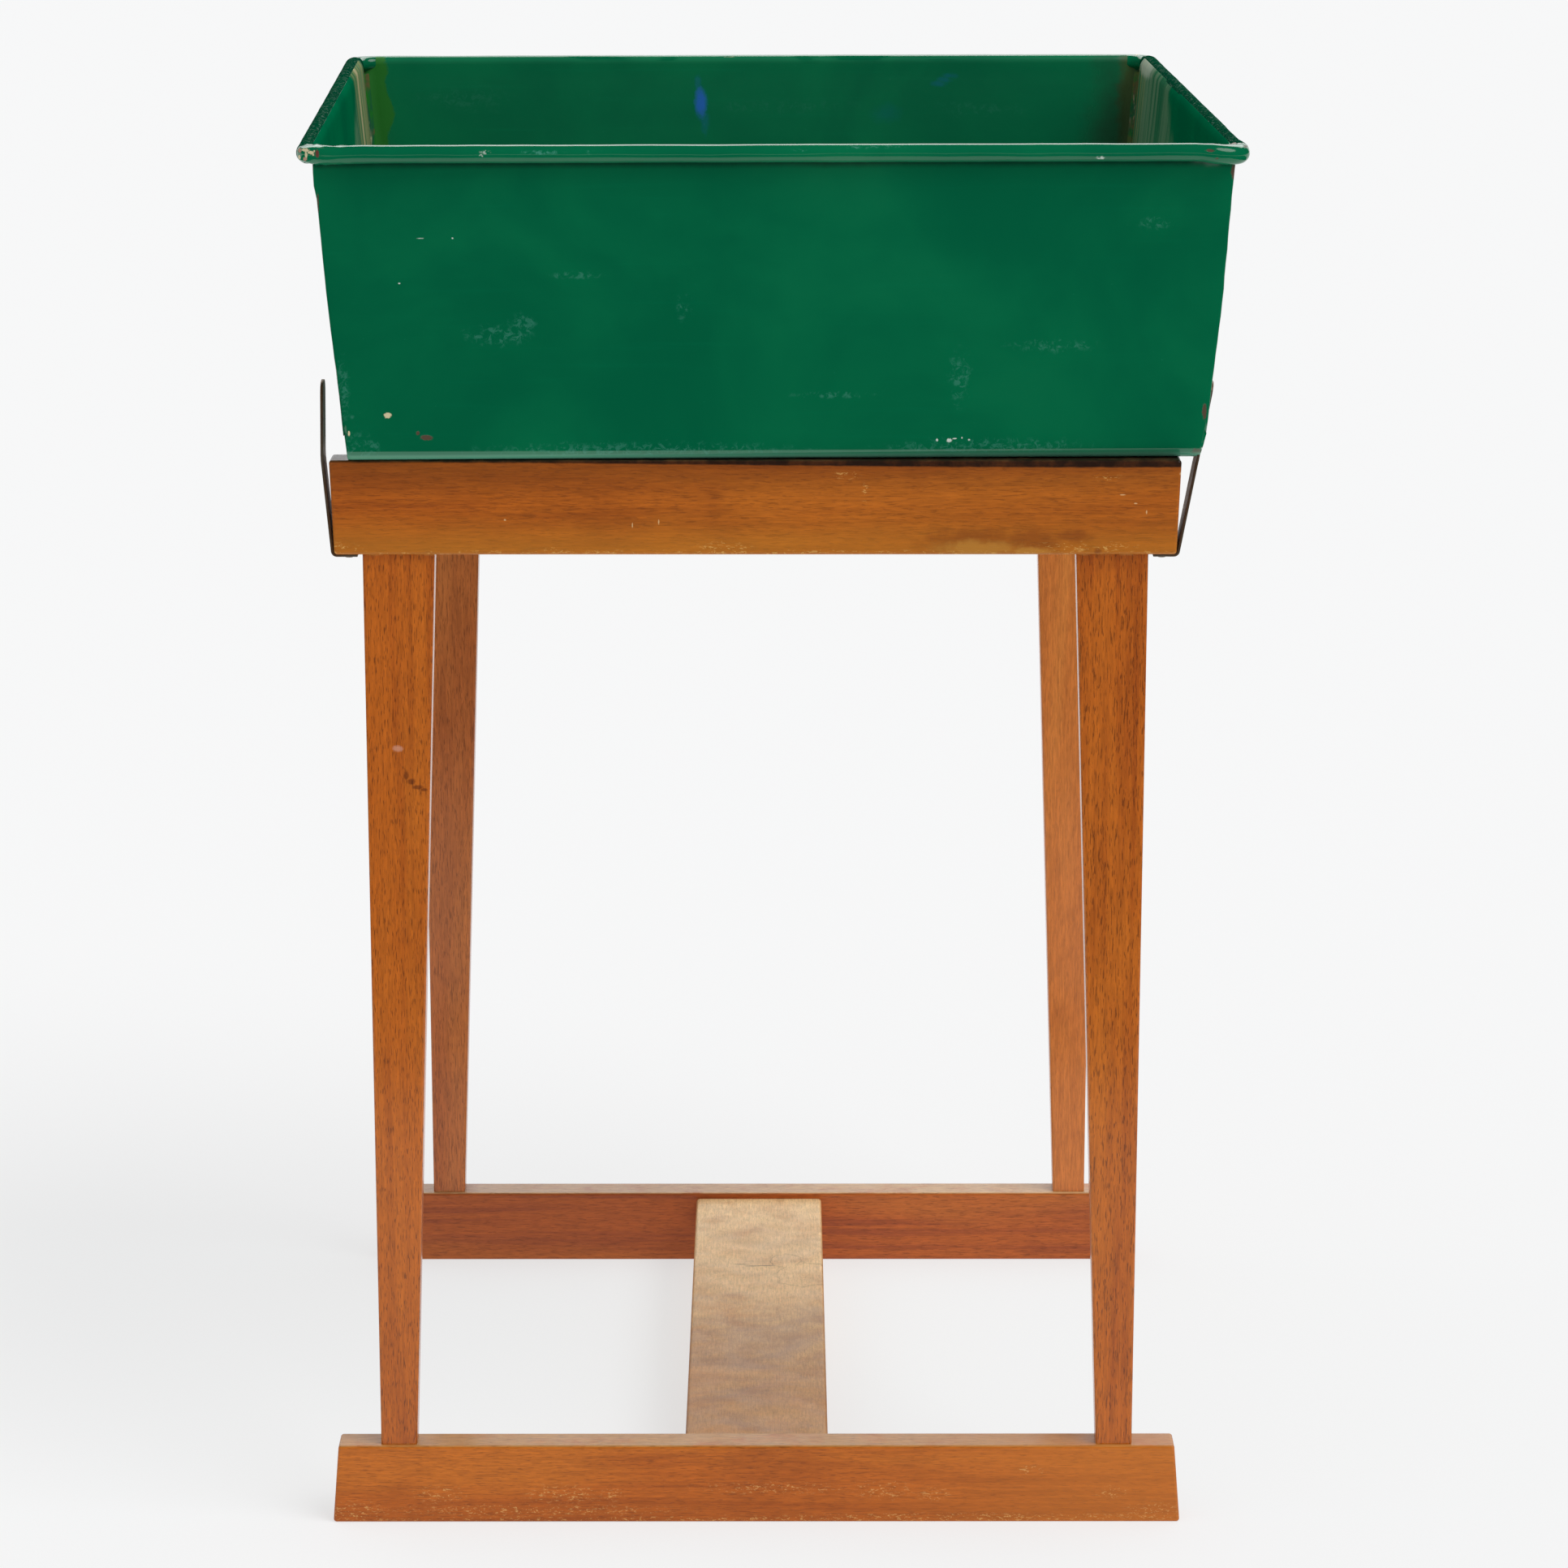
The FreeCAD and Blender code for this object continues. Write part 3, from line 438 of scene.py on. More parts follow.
def enamel(name, layers, gloss=0.09, bright=1.0, finish=None, specular=0.5):
    """Glossy green paint, over which layers of marks lie.

    layers are (tint, amount, marks, raggedness, edge, sunk): chips are sunk into the paint,
    and marks that aren't sunk are patches of fine strokes.
    """
    s = Shader(name)
    cloud = s.noise(s.place, 11, 4, 0.55, 0.4)
    tone = s.mix(s.step(cloud, 0.35, 0.7), GREEN_LOW, GREEN)
    drag = s.noise(s.stretch((9, 9, 260), (0, 0, 4)), 1, 3, 0.6)
    tone = s.mix(s.step(drag, 0.55, 0.85, 0.0, 0.2), tone, GREEN_HIGH)
    dust = s.step(s.noise(s.place, 800, 2, 0.6), 0.76, 0.80, 0.0, 0.35)
    tone = s.mix(dust, tone, colour("3A9078"))
    hair = s.noise(s.stretch((26, 26, 800), (2, 2, 0), (0.02, 0.03, 0)), 1, 4, 0.7)
    tone = s.mix(s.step(hair, 0.74, 0.80, 0.0, 0.22), tone, TEAL)
    if bright != 1.0:
        tone = s.mix(1.0, tone, (bright, bright, bright, 1.0), "MULTIPLY")
    depth = s.math("MULTIPLY", s.noise(s.place, 240, 2), 0.05)
    rough = s.step(cloud, 0.3, 0.8, gloss, gloss + 0.05)
    strokes = s.noise(s.stretch((300, 300, 300), (5, 5, 5), (0.3, 0.8, 0.2)), 1, 5, 0.75, 0.8)
    stroke = s.step(strokes, 0.48, 0.60)
    for tint, amount, marks, raggedness, edge, sunk in layers:
        spot = s.math("MULTIPLY", s.spots(marks, s.ragged(*raggedness), edge), amount)
        if not sunk:
            spot = s.math("MULTIPLY", spot, stroke)
        tone = s.mix(spot, tone, tint)
        rough = s.math("ADD", rough, s.math("MULTIPLY", spot, 0.4))
        if sunk:
            depth = s.math("ADD", depth, s.math("MULTIPLY", spot, -sunk))
    if finish:
        tone, rough = finish(s, tone, rough)
    return s.finish(Base_Color=tone, Roughness=rough, Specular_IOR_Level=specular,
                    Normal=s.bump(depth, 0.25 * MM, 0.8))


FRONT_Y = -220                   # the front wall, in mm as all marks are
FRONT_LAYERS = [
    (WHITE, 0.7, [(-143.5, FRONT_Y, 102, 0.35, 20, 0.35), (-158, FRONT_Y, 102, 1.5, 20, 0.15),
                  (-167.7, FRONT_Y, 81.6, 0.5, 20, 0.35),
                  (74.9, FRONT_Y, 9.0, 0.5, 20, 0.6), (80.6, FRONT_Y, 8.8, 1.3, 20, 0.8),
                  (83, FRONT_Y, 9.6, 0.9, 20, 0.3), (86.3, FRONT_Y, 9.9, 0.3, 20, 0.4),
                  (89.5, FRONT_Y, 9.0, 0.5, 20, 0.4), (188, FRONT_Y, 0.9, 5.0, 20, 0.5),
                  (196, FRONT_Y, 4.3, 0.8, 20, 0.7)],
     (1500, 1.3), 0.3, 0.3),
    (TEAL, 0.30, [(-124, FRONT_Y, 58, 13, 20, 4.0), (-112, FRONT_Y, 63, 5, 20, 4),
                  (85, FRONT_Y, 38, 4.0, 20, 10), (172, FRONT_Y, 108, 6, 20, 2.4),
                  (128, FRONT_Y, 52, 16, 20, 2.4), (-88, FRONT_Y, 85, 10, 20, 1.6),
                  (-181, FRONT_Y, 6.7, 3.4, 20, 3), (-188, FRONT_Y, 7, 6, 20, 6),
                  (-194, FRONT_Y, 33, 2.4, 20, 12), (-190, FRONT_Y, 20.4, 1.0, 20, 1.0),
                  (-40, FRONT_Y, 70, 3, 20, 5), (30, FRONT_Y, 30, 16, 20, 1.4),
                  (-60, FRONT_Y, 5, 60, 20, 3), (100, FRONT_Y, 6, 40, 20, 3)],
     (260, 2.3), 0.5, 0.0),
    (CREAM, 0.9, [(-173.9, FRONT_Y, 21.3, 1.7, 20, 1.3), (-191.6, FRONT_Y, 13, 0.5, 20, 1.2)],
     (900, 1.3), 0.2, 0.8),
    (RUST, 0.85, [(-156.6, FRONT_Y, 11.0, 2.6, 20, 1.2), (-160.5, FRONT_Y, 13, 0.8, 20, 0.9),
                  (196.4, FRONT_Y, 21.5, 1.0, 20, 3.6), (193.5, FRONT_Y, 2.8, 2.6, 20, 1.6),
                  (207.4, -220, 131, 1.2, 20, 3.2), (-203.4, FRONT_Y, 118, 0.3, 20, 4),
                  (203.6, FRONT_Y, 62, 0.5, 20, 3)],
     (700, 1.4), 0.25, 0.8),
]
BACK_LAYERS = [
    (OLIVE, 0.9, [(-199.5, 221, 118, 8.0, 20, 40), (-204, 216, 90, 5, 8, 60),
                  (-195.5, 221, 114, 6.5, 20, 13)],
     (90, 1.1), 0.10, 0.1),
    (colour("4C5A1C"), 0.85, [(200, 220, 105, 6.0, 9, 60)], (120, 1.3), 0.45, 0.1),
    (colour("0A3A22"), 0.6, [(190, 220, 70, 12, 9, 60)], (60, 1.2), 0.8, 0.01),
    (BLUE, 0.85, [(-27.0, 221, 120.0, 2.9, 9, 6.6)], (300, 1.0), 0.5, 0.01),
    (BLUE, 0.15, [(-25.0, 221, 111.0, 2.0, 9, 6.0), (-28.5, 221, 130, 1.6, 9, 4.0)],
     (300, 1.6), 0.5, 0.01),
    (BLUE, 0.16, [(98, 221, 129.5, 3.2, 9, 1.4), (101, 221, 131.5, 3.2, 9, 1.4),
                  (104, 221, 133.5, 3.2, 9, 1.2)],
     (300, 2.0), 0.7, 0.01),
    (BLUE, 0.06, [(70, 221, 114, 6, 9, 4)], (160, 2.0), 0.8, 0.01),
    (CREAM, 0.9, [(200.5, 222, 141.5, 2.0, 8, 2.4)], (500, 1.5), 0.3, 0.4),
    (TEAL, 0.12, [(-150, 221, 122, 20, 9, 5), (20, 221, 118, 30, 9, 3),
                  (120, 221, 116, 22, 9, 3)], (120, 2.6), 0.6, 0.0),
]
SIDE_LAYERS = [
    (TEAL, 0.4, [(0, 60, 60, 260, 40, 8), (0, -90, 90, 260, 30, 6), (0, -10, 30, 260, 50, 5),
                 (0, 120, 25, 260, 24, 7)], (200, 3.0), 0.4, 0.0),
]
RIM_LAYERS = [
    (CREAM, 0.95, [(-208.6, -224, 142.0, 2.0, 8, 0.7), (-206.0, -225, 141.2, 1.5, 8, 0.7),
                   (-208.2, -224, 139.9, 0.6, 8, 1.5), (-211.5, -220, 138.5, 0.6, 8, 1.0),
                   (-204.4, -226, 141.9, 0.4, 8, 0.4), (-204.8, -226, 140.2, 0.4, 8, 0.4),
                   (-7, 222, 143.4, 6, 2, 0.6), (203, 224, 143.6, 1.6, 2.6, 1.6)],
     (900, 1.8), 0.25, 0.5),
    (PINK, 0.8, [(-211.3, -220, 141.5, 0.8, 8, 1.0), (-208.8, -224, 138.0, 0.9, 8, 0.8)],
     (900, 1.6), 0.25, 0.5),
    (colour("6E2A26"), 0.9, [(-203.0, -226, 140.8, 0.85, 8, 1.6)], (800, 1.0), 0.25, 0.5),
    (RUST, 0.9, [(196, -228.5, 141.3, 2.0, 2, 0.6), (211, -219, 142, 2.5, 3, 0.8),
                 (199, -227.5, 138, 2.5, 2, 0.7)],
     (800, 1.5), 0.25, 0.5),
    (WHITE, 0.6, [(-128, -228.6, 141.4, 2.4, 2, 0.8), (-130, -229, 139.8, 0.8, 2, 0.7),
                  (147, -228.8, 138.2, 2, 2, 0.7)],
     (600, 1.8), 0.4, 0.0),
    (TEAL, 0.6, [(-104, -228.8, 141.3, 9, 2, 0.9), (-80, -228.8, 141.3, 3, 2, 1.0),
                 (46, -227.5, 143.0, 12, 1.4, 0.8), (12, -228.4, 142.0, 3, 2, 0.6)],
     (600, 1.8), 0.4, 0.0),
]


def chalky(s, tone, rough):
    """Dull, dark and speckled, as on the two side beads."""
    tone = s.mix(0.45, tone, colour("06241E"))
    speck = s.step(s.noise(s.place, 620, 4, 0.75), 0.56, 0.64)
    tone = s.mix(s.math("MULTIPLY", speck, 0.6), tone, colour("86A698"))
    return tone, s.math("ADD", rough, 0.5)


def streaked(s, tone, rough):
    """The side sheets' inner faces: old paint and flux brushed downwards, most to the rear."""
    x, y, z = (s.add("SeparateXYZ", {0: s.place}, axis) for axis in "XYZ")
    on_right = s.step(x, -0.01, 0.01)
    reach = s.math("ADD", s.math("SUBTRACT", y, s.math("MULTIPLY", z, 2.0)),
                   s.step(x, -0.01, 0.01, 0.16, 0.236))
    reach = s.math("ADD", reach, s.ragged(30, 0.05))
    strokes = s.noise(s.stretch((3, 90, 6), (1, 2, 3)), 1, 5, 0.7, 0.2)
    film = s.math("MULTIPLY", s.step(reach, 0.0, 0.03), s.step(strokes, 0.36, 0.62, 0.1, 0.6))
    tone = s.mix(film, tone, GREY_GREEN)
    corner = s.math("SUBTRACT", s.math("ADD", y, s.ragged(30, 0.04)),
                    s.math("MULTIPLY", on_right, 0.06))
    runs = s.noise(s.stretch((3, 110, 5), (4, 5, 6)), 1, 4, 0.65, 0.2)
    flux = s.math("MULTIPLY", s.step(corner, 0.115, 0.14), s.step(runs, 0.42, 0.56, 0.0, 0.8))
    tone = s.mix(flux, tone, s.mix(s.step(runs, 0.52, 0.66), colour("8E9460"), colour("C2B48C")))
    smear = s.spots([(205, 190, 141, 8, 34, 5)], s.ragged(160, 1.0), 0.4)
    tone = s.mix(s.math("MULTIPLY", smear, 0.6), tone, colour("C9D2C2"))
    return tone, s.math("ADD", rough, s.math("MULTIPLY", film, 0.3))


def scuffed(s, tone, rough):
    """Paler and duller, as on the cut edges of the side sheets."""
    return s.mix(0.55, tone, TEAL), s.math("ADD", rough, 0.3)


def shade_under_bead(s, tone, rough):
    """A dark line painted where a wall meets the rolled edge, a painted shadow under the bead."""
    z = s.add("SeparateXYZ", {0: s.place}, "Z")
    line = s.step(s.math("ADD", z, s.ragged(60, 0.002)), 0.1325, 0.1362, 0.0, 0.75)
    return s.mix(line, tone, colour("01241A")), rough


def bead_shadow_and_bend_reflection(s, tone, rough):
    """A painted shadow under the bead, and a pale band on the lower bends, a painted reflection
    of the floor.
    """
    tone, rough = shade_under_bead(s, tone, rough)
    # The pale band on the lower bends is a painted reflection, strongest at the bottom of the
    # bend.
    z = s.add("SeparateXYZ", {0: s.place}, "Z")
    band = s.math("MULTIPLY", s.step(z, 0.0002, 0.0005),
                  s.step(s.math("ADD", z, s.ragged(40, 0.0006)), 0.0042, 0.0046, 1.0, 0.0))
    bend_reflection = s.math("MULTIPLY", band, s.step(z, 0.0010, 0.0036, 0.95, 0.2))
    return s.mix(bend_reflection, tone, colour("5FA588")), rough


# The bright factors below make lighter and darker copies of the one green paint, a painted
# difference of light between the trough's faces.
front_paint = enamel("front_enamel", FRONT_LAYERS, finish=bead_shadow_and_bend_reflection)
back_paint = enamel("back_enamel", BACK_LAYERS, 0.2, 1.45)
side_paint = enamel("side_enamel", SIDE_LAYERS, 0.15, finish=shade_under_bead)
side_inner_paint = enamel("side_inner_enamel", [], 0.35, 1.15, streaked, 0.0)
side_edge_paint = enamel("side_edge_enamel", [], finish=scuffed, specular=0.2)
rim_paint = enamel("rim_enamel", RIM_LAYERS, 0.1, 1.15)
side_rim_paint = enamel("side_rim_enamel", RIM_LAYERS, 0.2, 0.8, chalky, 0.0)


def solder_paint():
    """Old solder and paint in the trough's upright inner corners."""
    s = Shader("corner_solder_finish")
    run = s.noise(s.stretch((420, 420, 26), (3, 1, 2)), 1, 4, 0.65, 0.5)
    patch = s.noise(s.place, 60, 4, 0.6)
    tone = s.mix(s.step(run, 0.35, 0.6), OLIVE, GREEN_LOW)
    tone = s.mix(s.step(run, 0.58, 0.68), tone, CREAM)
    tone = s.mix(s.step(patch, 0.55, 0.7), tone, colour("6B5A33"))
    return s.finish(Base_Color=tone, Roughness=s.step(run, 0.3, 0.7, 0.35, 0.65),
                    Normal=s.bump(run, 0.4 * MM, 0.8))


def steel(name, seed, warm):
    """Spring steel with a brown-grey patina, bare where it has been rubbed."""
    s = Shader(name)
    stain = s.noise(s.stretch((60, 60, 24), (seed, 0, seed)), 1, 4, 0.65, 0.4)
    fine = s.noise(s.stretch((900, 900, 120), (seed, 1, 0)), 1, 3, 0.7)
    tone = s.mix(s.step(stain, 0.35, 0.65), colour("6E665A"), colour(warm))
    tone = s.mix(s.step(fine, 0.5, 0.75, 0.0, 0.6), tone, colour("3B332B"))
    tone = s.mix(s.step(s.noise(s.place, 420, 3, 0.7), 0.66, 0.74, 0.0, 0.6), tone,
                 colour("9A8E7E"))
    return s.finish(Base_Color=tone, Metallic=0.75,
                    Roughness=s.step(fine, 0.3, 0.7, 0.38, 0.6),
                    Normal=s.bump(fine, 0.08 * MM, 0.6))


strip_steel = steel("strip_steel", 2.0, "6B5138")
screw_steel = steel("screw_steel", 5.0, "7A6A55")
wire_steel = steel("wire_steel", 8.0, "5F5346")
give("corner_solder", solder_paint())
give("rim_wire", wire_steel)

# ------------------------------------------------------------------ the trough

PAN_TURN = math.radians(1.4)     # how far the trough is turned on its rails
SHEET = 0.9 * MM
FOOT_X, HEAD_X = 193.25 * MM, 205.65 * MM       # half widths, outside
FOOT_Y, HEAD_Y = 215.8 * MM, 221.8 * MM         # half lengths, outside
WALL = 137.6 * MM                # height of the walls up to the rolled edge
BEND = 6.0 * MM                  # outer radius of the bends at the bottom
FOLD = 1.5 * MM                  # radius of the folds on the end walls' upright edges
LAP_BACK = 2.2 * MM              # where a fold comes back to the side sheet
LAP = 6.9 * MM                   # where a fold ends
LAP_START = 8.0 * MM             # height at which the folds start
SHEET_COLUMNS = 61               # vertices across the trough sheet
CURL_ROWS = 8                    # rows of vertices that curl over the wire
RIM_HEIGHT = 140.2 * MM
RIM_X, RIM_Y = 209.0 * MM, 225.0 * MM           # middle of the rolled edge
RIM_TURN = 13.0 * MM             # its radius round the corners
ROLL = 4.1 * MM                  # its own radius

sheet_low, sheet_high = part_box("pan_trough_sheet")
pan_middle = (sheet_low + sheet_high) / 2
PAN = Matrix.Translation((pan_middle.x, pan_middle.y, sheet_low.z)) @ Matrix.Rotation(
    PAN_TURN, 4, "Z")


def half_x(z):
    """Half the trough's outer width at a height."""
    return FOOT_X + (HEAD_X - FOOT_X) * z / WALL


def half_y(z):
    """Half the trough's outer length at a height."""
    return FOOT_Y + (HEAD_Y - FOOT_Y) * z / WALL


def bead_at(along, half_across, half_along):
    """How far out the rolled edge's middle is, beside a point along the wall."""
    past = max(abs(along) - (half_along - RIM_TURN), 0.0)
    return half_across - RIM_TURN + math.sqrt(RIM_TURN ** 2 - min(past, RIM_TURN) ** 2)


def curl(step, in_corner, rim_at, wall_at, gap, over):
    """(distance from the middle, height) of a wall's outer skin where it curls on the wire.

    step goes up to CURL_ROWS; in_corner is 1 in the corners, where the wall ends upright;
    gap is how far the wall's foot stands in from the rolled edge; over is the angle up to
    which it curls.
    """
    share = step / CURL_ROWS
    angle = math.radians(-12 + (over + 12) * share)
    radius = ROLL + 0.05 * MM + gap * (1 - share) ** 2 - SHEET
    across = rim_at - radius * math.cos(angle)
    z = RIM_HEIGHT + radius * math.sin(angle)
    upright = WALL + (0.4 + 1.2 * share) * MM
    return across + (wall_at(upright) - across) * in_corner, z + (upright - z) * in_corner


def edge_wander(z, side, end):
    """How far an end wall's upright edge stands out from the straight line.

    The front wall's right edge stands proud all the way; its left edge bulges a little, with
    a lump near the rim and its foot drawn in.
    """
    if end > 0:
        return 0.5 * MM * noise.noise(Vector((z * 30, side * 3.0, 9)))
    fine = 0.22 * MM * noise.noise(Vector((z * 110, side * 5.0, 2)))
    if side > 0:
        proud = 3.5 * MM * smoothstep(z, -0.012, 0.016) - 0.6 * MM * smoothstep(z, 0.09, 0.125)
        return proud + 0.5 * MM * hump(z, 0.035, 0.067, 0.100) + fine
    lump = 0.9 * MM * hump(z, 0.118, 0.128, 0.137)
    foot = 0.8 * MM * (1 - smoothstep(z, 0, 0.05))
    return 0.5 * MM * hump(z, 0.03, 0.075, 0.13) + lump - foot + fine


def dish(x, z, end):
    """Slow waves in an end wall, none at its edges."""
    calm = smoothstep(z, 0.006, 0.04) * (1 - smoothstep(z, 0.10, 0.136))
    calm *= 1 - smoothstep(abs(x), 0.14, 0.19)
    slow = noise.noise(Vector((x * 9, z * 12, 4 + end)))
    return 0.7 * MM * calm * slow


def wall_slope():
    """The end walls' outward lean."""
    return math.atan((HEAD_Y - FOOT_Y) / WALL)


def sheet_rows():
    """(height share of the wall or None, y, z) from the front wall's top to mid-bottom."""
    slope = wall_slope()
    bend_y = -FOOT_Y - BEND * math.tan(slope) + BEND / math.cos(slope)
    start_z = BEND - BEND * math.sin(slope)
    wall_rows = 22
    rows = [(1 + (CURL_ROWS - i) / CURL_ROWS, 0.0, start_z) for i in range(CURL_ROWS)]
    rows += [(1 - i / wall_rows, 0.0, start_z) for i in range(wall_rows)]
    steps = 9
    for i in range(steps + 1):
        angle = slope + (math.pi / 2 - slope) * i / steps
        rows.append((None, bend_y - BEND * math.cos(angle), BEND - BEND * math.sin(angle)))
    bottom_rows = 12
    for i in range(1, bottom_rows + 1):
        rows.append((None, bend_y * (1 - i / bottom_rows), 0.0))
    return rows


def sheet_point(row, end, across):
    """A point of the outer skin; across runs from -1 at the left edge to 1 at the right."""
    share, y, z = row
    side = math.copysign(1, across)
    if share is None:
        fade = smoothstep(abs(y), 0.190, 0.214)
        x = across * (half_x(z) - FOLD + fade * edge_wander(z, side, end))
        return x, -end * y, z
    z += min(share, 1) * (WALL - z)
    x = across * (half_x(z) - FOLD + edge_wander(z, side, end))
    out = half_y(z) + dish(x, z, end)
    if share > 1:
        in_corner = smoothstep(abs(x), HEAD_X - 6 * MM, HEAD_X - FOLD)
        out, z = curl((share - 1) * CURL_ROWS, in_corner, bead_at(x, RIM_Y, RIM_X),
                      half_y, 0.02 * MM, 68)
    return x, end * out, z


def edge_points(verts, rows, side):
    """The vertices at the left or right edge of some of the sheet's rows."""
    column = 0 if side < 0 else SHEET_COLUMNS - 1
    return [verts[row * SHEET_COLUMNS + column] for row in rows]


def add_fold(verts, faces, wall_rows, end, side):
    """Turn an end wall's upright edge round onto the outside of a side sheet."""
    turns, flats = 5, 3
    kept = [point for point in edge_points(verts, wall_rows, side) if point[2] >= LAP_START]
    start = len(verts)
    for x, y, z in kept:
        proud = side * edge_wander(z, side, end)
        verts.append((x, y, z))
        for i in range(1, turns + 1):
            angle = math.pi / 2 * i / turns
            verts.append((x + side * FOLD * math.sin(angle),
                          y - end * FOLD * (1 - math.cos(angle)), z))
        for i in range(flats):
            gone = LAP_BACK + (LAP - LAP_BACK) * i / (flats - 1)
            lift = 0.15 * MM * noise.noise(Vector((z * 60, i, side)))
            verts.append((x - proud + side * (FOLD + lift), y - end * gone, z))
    strip = quads(len(kept), turns + flats + 1, start)
    faces += strip if end * side > 0 else flipped(strip)


def add_lip(verts, faces, row_count, side):
    """Run the sheet out flat to a side's outer face, below the folds."""
    low = [point for point in edge_points(verts, range(row_count), side)
           if point[2] < LAP_START + 6 * MM]
    start = len(verts)
    for x, y, z in low:
        verts.append((x, y, z))
        verts.append((x + side * FOLD, y, z))
    strip = quads(len(low), 2, start)
    faces += strip if side < 0 else flipped(strip)


def build_trough_sheet():
    """The outer skin of front wall, bottom and rear wall, with folded upright edges."""
    rows = sheet_rows()
    full = [(-1, row) for row in rows] + [(1, row) for row in rows[-2::-1]]
    verts = []
    for end, row in full:
        for column in range(SHEET_COLUMNS):
            verts.append(sheet_point(row, end, -1 + 2 * column / (SHEET_COLUMNS - 1)))
    faces = flipped(quads(len(full), SHEET_COLUMNS))
    wall_rows = sum(1 for share, _, _ in rows if share is not None)
    for end, first_row in ((-1, 0), (1, len(full) - wall_rows)):
        for side in (-1, 1):
            add_fold(verts, faces, range(first_row, first_row + wall_rows), end, side)
    for side in (-1, 1):
        add_lip(verts, faces, len(full), side)
    return verts, faces


def sheet_piece(name, verts, faces, materials, replaced, edge=0):
    """A piece of sheet steel whose outer skin is given, on the pan's body.

    materials are the outer skin's, the inner skin's and others; edge is the cut edges' one.
    """
    piece = new_object(name, verts, faces, materials[0], "pan", matrix=PAN)
    for material in materials[1:]:
        piece.data.materials.append(material)
    weld = piece.modifiers.new("weld", "WELD")
    weld.merge_threshold = 0.02 * MM
    thick = piece.modifiers.new("thickness", "SOLIDIFY")
    thick.thickness = SHEET
    thick.offset = -1
    thick.material_offset = 1
    thick.material_offset_rim = edge
    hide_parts(replaced)
    return piece


sheet_piece("painted_trough_sheet", *build_trough_sheet(), [front_paint, back_paint],
            "pan_trough_sheet")


def side_at(z):
    """Outer skin of a side sheet, inside the end walls' laps."""
    return half_x(z) - SHEET - 0.01 * MM


def build_side(side):
    """A side sheet's outer skin, rounded below to stand in the bends."""
    slope = wall_slope()
    bend_y = FOOT_Y + BEND * math.tan(slope) - BEND / math.cos(slope)
    inside = BEND - SHEET
    rows, spread = 40, 60
    verts = []
    for row in range(rows + CURL_ROWS + 1):
        share = min(row / rows, 1) ** 1.6
        for column in range(spread + 1):
            across = -1 + 2 * column / spread
            z = SHEET + share * (WALL - SHEET)
            if z < BEND:
                reach = bend_y + math.sqrt(max(inside ** 2 - (BEND - z) ** 2, 0.0))
            else:
                reach = half_y(z) - SHEET
            y = across * (reach - 0.02 * MM)
            calm = smoothstep(z, 0.004, 0.04) * (1 - smoothstep(z, 0.10, 0.136))
            calm *= 1 - smoothstep(abs(y), 0.17, 0.205)
            wave = 0.6 * MM * calm * noise.noise(Vector((y * 8, z * 12, 11 + side)))
            out = side_at(z) + wave - 0.25 * MM * calm
            if row > rows:
                in_corner = smoothstep(abs(y), HEAD_Y - 6 * MM, HEAD_Y - SHEET)
                out, z = curl(row - rows, in_corner, bead_at(y, RIM_X, RIM_Y), side_at,
                              0.95 * MM, 46)
            verts.append((side * out, y, z))
    faces = quads(rows + CURL_ROWS + 1, spread + 1)
    return verts, flipped(faces) if side < 0 else faces


for side, side_name in ((-1, "left"), (1, "right")):
    sheet_piece(f"painted_{side_name}_side", *build_side(side),
                [side_paint, side_inner_paint, side_edge_paint], f"pan_{side_name}_side", 2)


def rim_path():
    """Points and outward directions round the rim, from the middle of the right side."""
    stations = []
    for sx, sy, first in ((1, 1, 0.0), (-1, 1, 0.5), (-1, -1, 1.0), (1, -1, 1.5)):
        middle = Vector((sx * (RIM_X - RIM_TURN), sy * (RIM_Y - RIM_TURN)))
        for i in range(13):
            angle = math.pi * (first + 0.5 * i / 12)
            out = Vector((math.cos(angle), math.sin(angle)))
            stations.append((middle + RIM_TURN * out, out))
    path = []
    for (a, out_a), (b, out_b) in zip(stations, stations[1:] + stations[:1]):
        count = max(1, round((b - a).length / (3.2 * MM)))
        for i in range(count):
            t = i / count
            path.append((a.lerp(b, t), out_a.lerp(out_b, t).normalized()))
    return path


def crushed(point):
    """1 at the dented near left corner of the rim, 0 away from it."""
    return 1 - smoothstep((point - Vector((-RIM_X + 0.004, -RIM_Y + 0.004))).length, 0.004, 0.026)


def lapped(point):
    """1 at the near right corner, where one bead's end is lapped over the other's."""
    if point.y > 0:
        return 0.0
    return smoothstep(point.x, 0.1925, 0.1950) * (1 - smoothstep(point.y, -0.212, -0.200))


def build_rim():
    """The rolled edge: a tube round its wire, open in a thin slit next to the wall."""
    around = 28
    verts = []
    path = rim_path()
    for place, out in path:
        dent = crushed(place)
        lap = lapped(place)
        tip = 1 - smoothstep((place - Vector((RIM_X, -RIM_Y))).length, 0.004, 0.020)
        place = place + tip * Vector((3.0 * MM, -0.8 * MM))
        drop = 0.25 * MM * noise.noise(Vector((place.x * 9, place.y * 9, 3)))
        for i in range(around):
            angle = 2 * math.pi * i / around
            lump = noise.noise(Vector((place.x * 60, place.y * 60, angle * 0.8)))
            small = noise.noise(Vector((place.x * 330, place.y * 330, 3 * math.cos(angle))))
            radius = ROLL + 0.13 * MM * lump + dent * (0.75 * MM * small + 0.25 * MM)
            radius += 0.4 * MM * lap
            slit = math.exp(-((math.degrees(angle) - 228) / 9) ** 2)
            radius = max(radius - 0.55 * MM * slit, 3.35 * MM)
            flat = place + out * radius * math.cos(angle)
            sunk = (0.4 * dent + 1.4 * tip) * MM
            verts.append((flat.x, flat.y, RIM_HEIGHT + drop - sunk + radius * math.sin(angle)))
    faces = quads(len(path), around, ring=True)
    last = (len(path) - 1) * around
    for i in range(around):
        after = (i + 1) % around
        faces.append((last + i, last + after, after, i))
    return verts, flipped(faces)


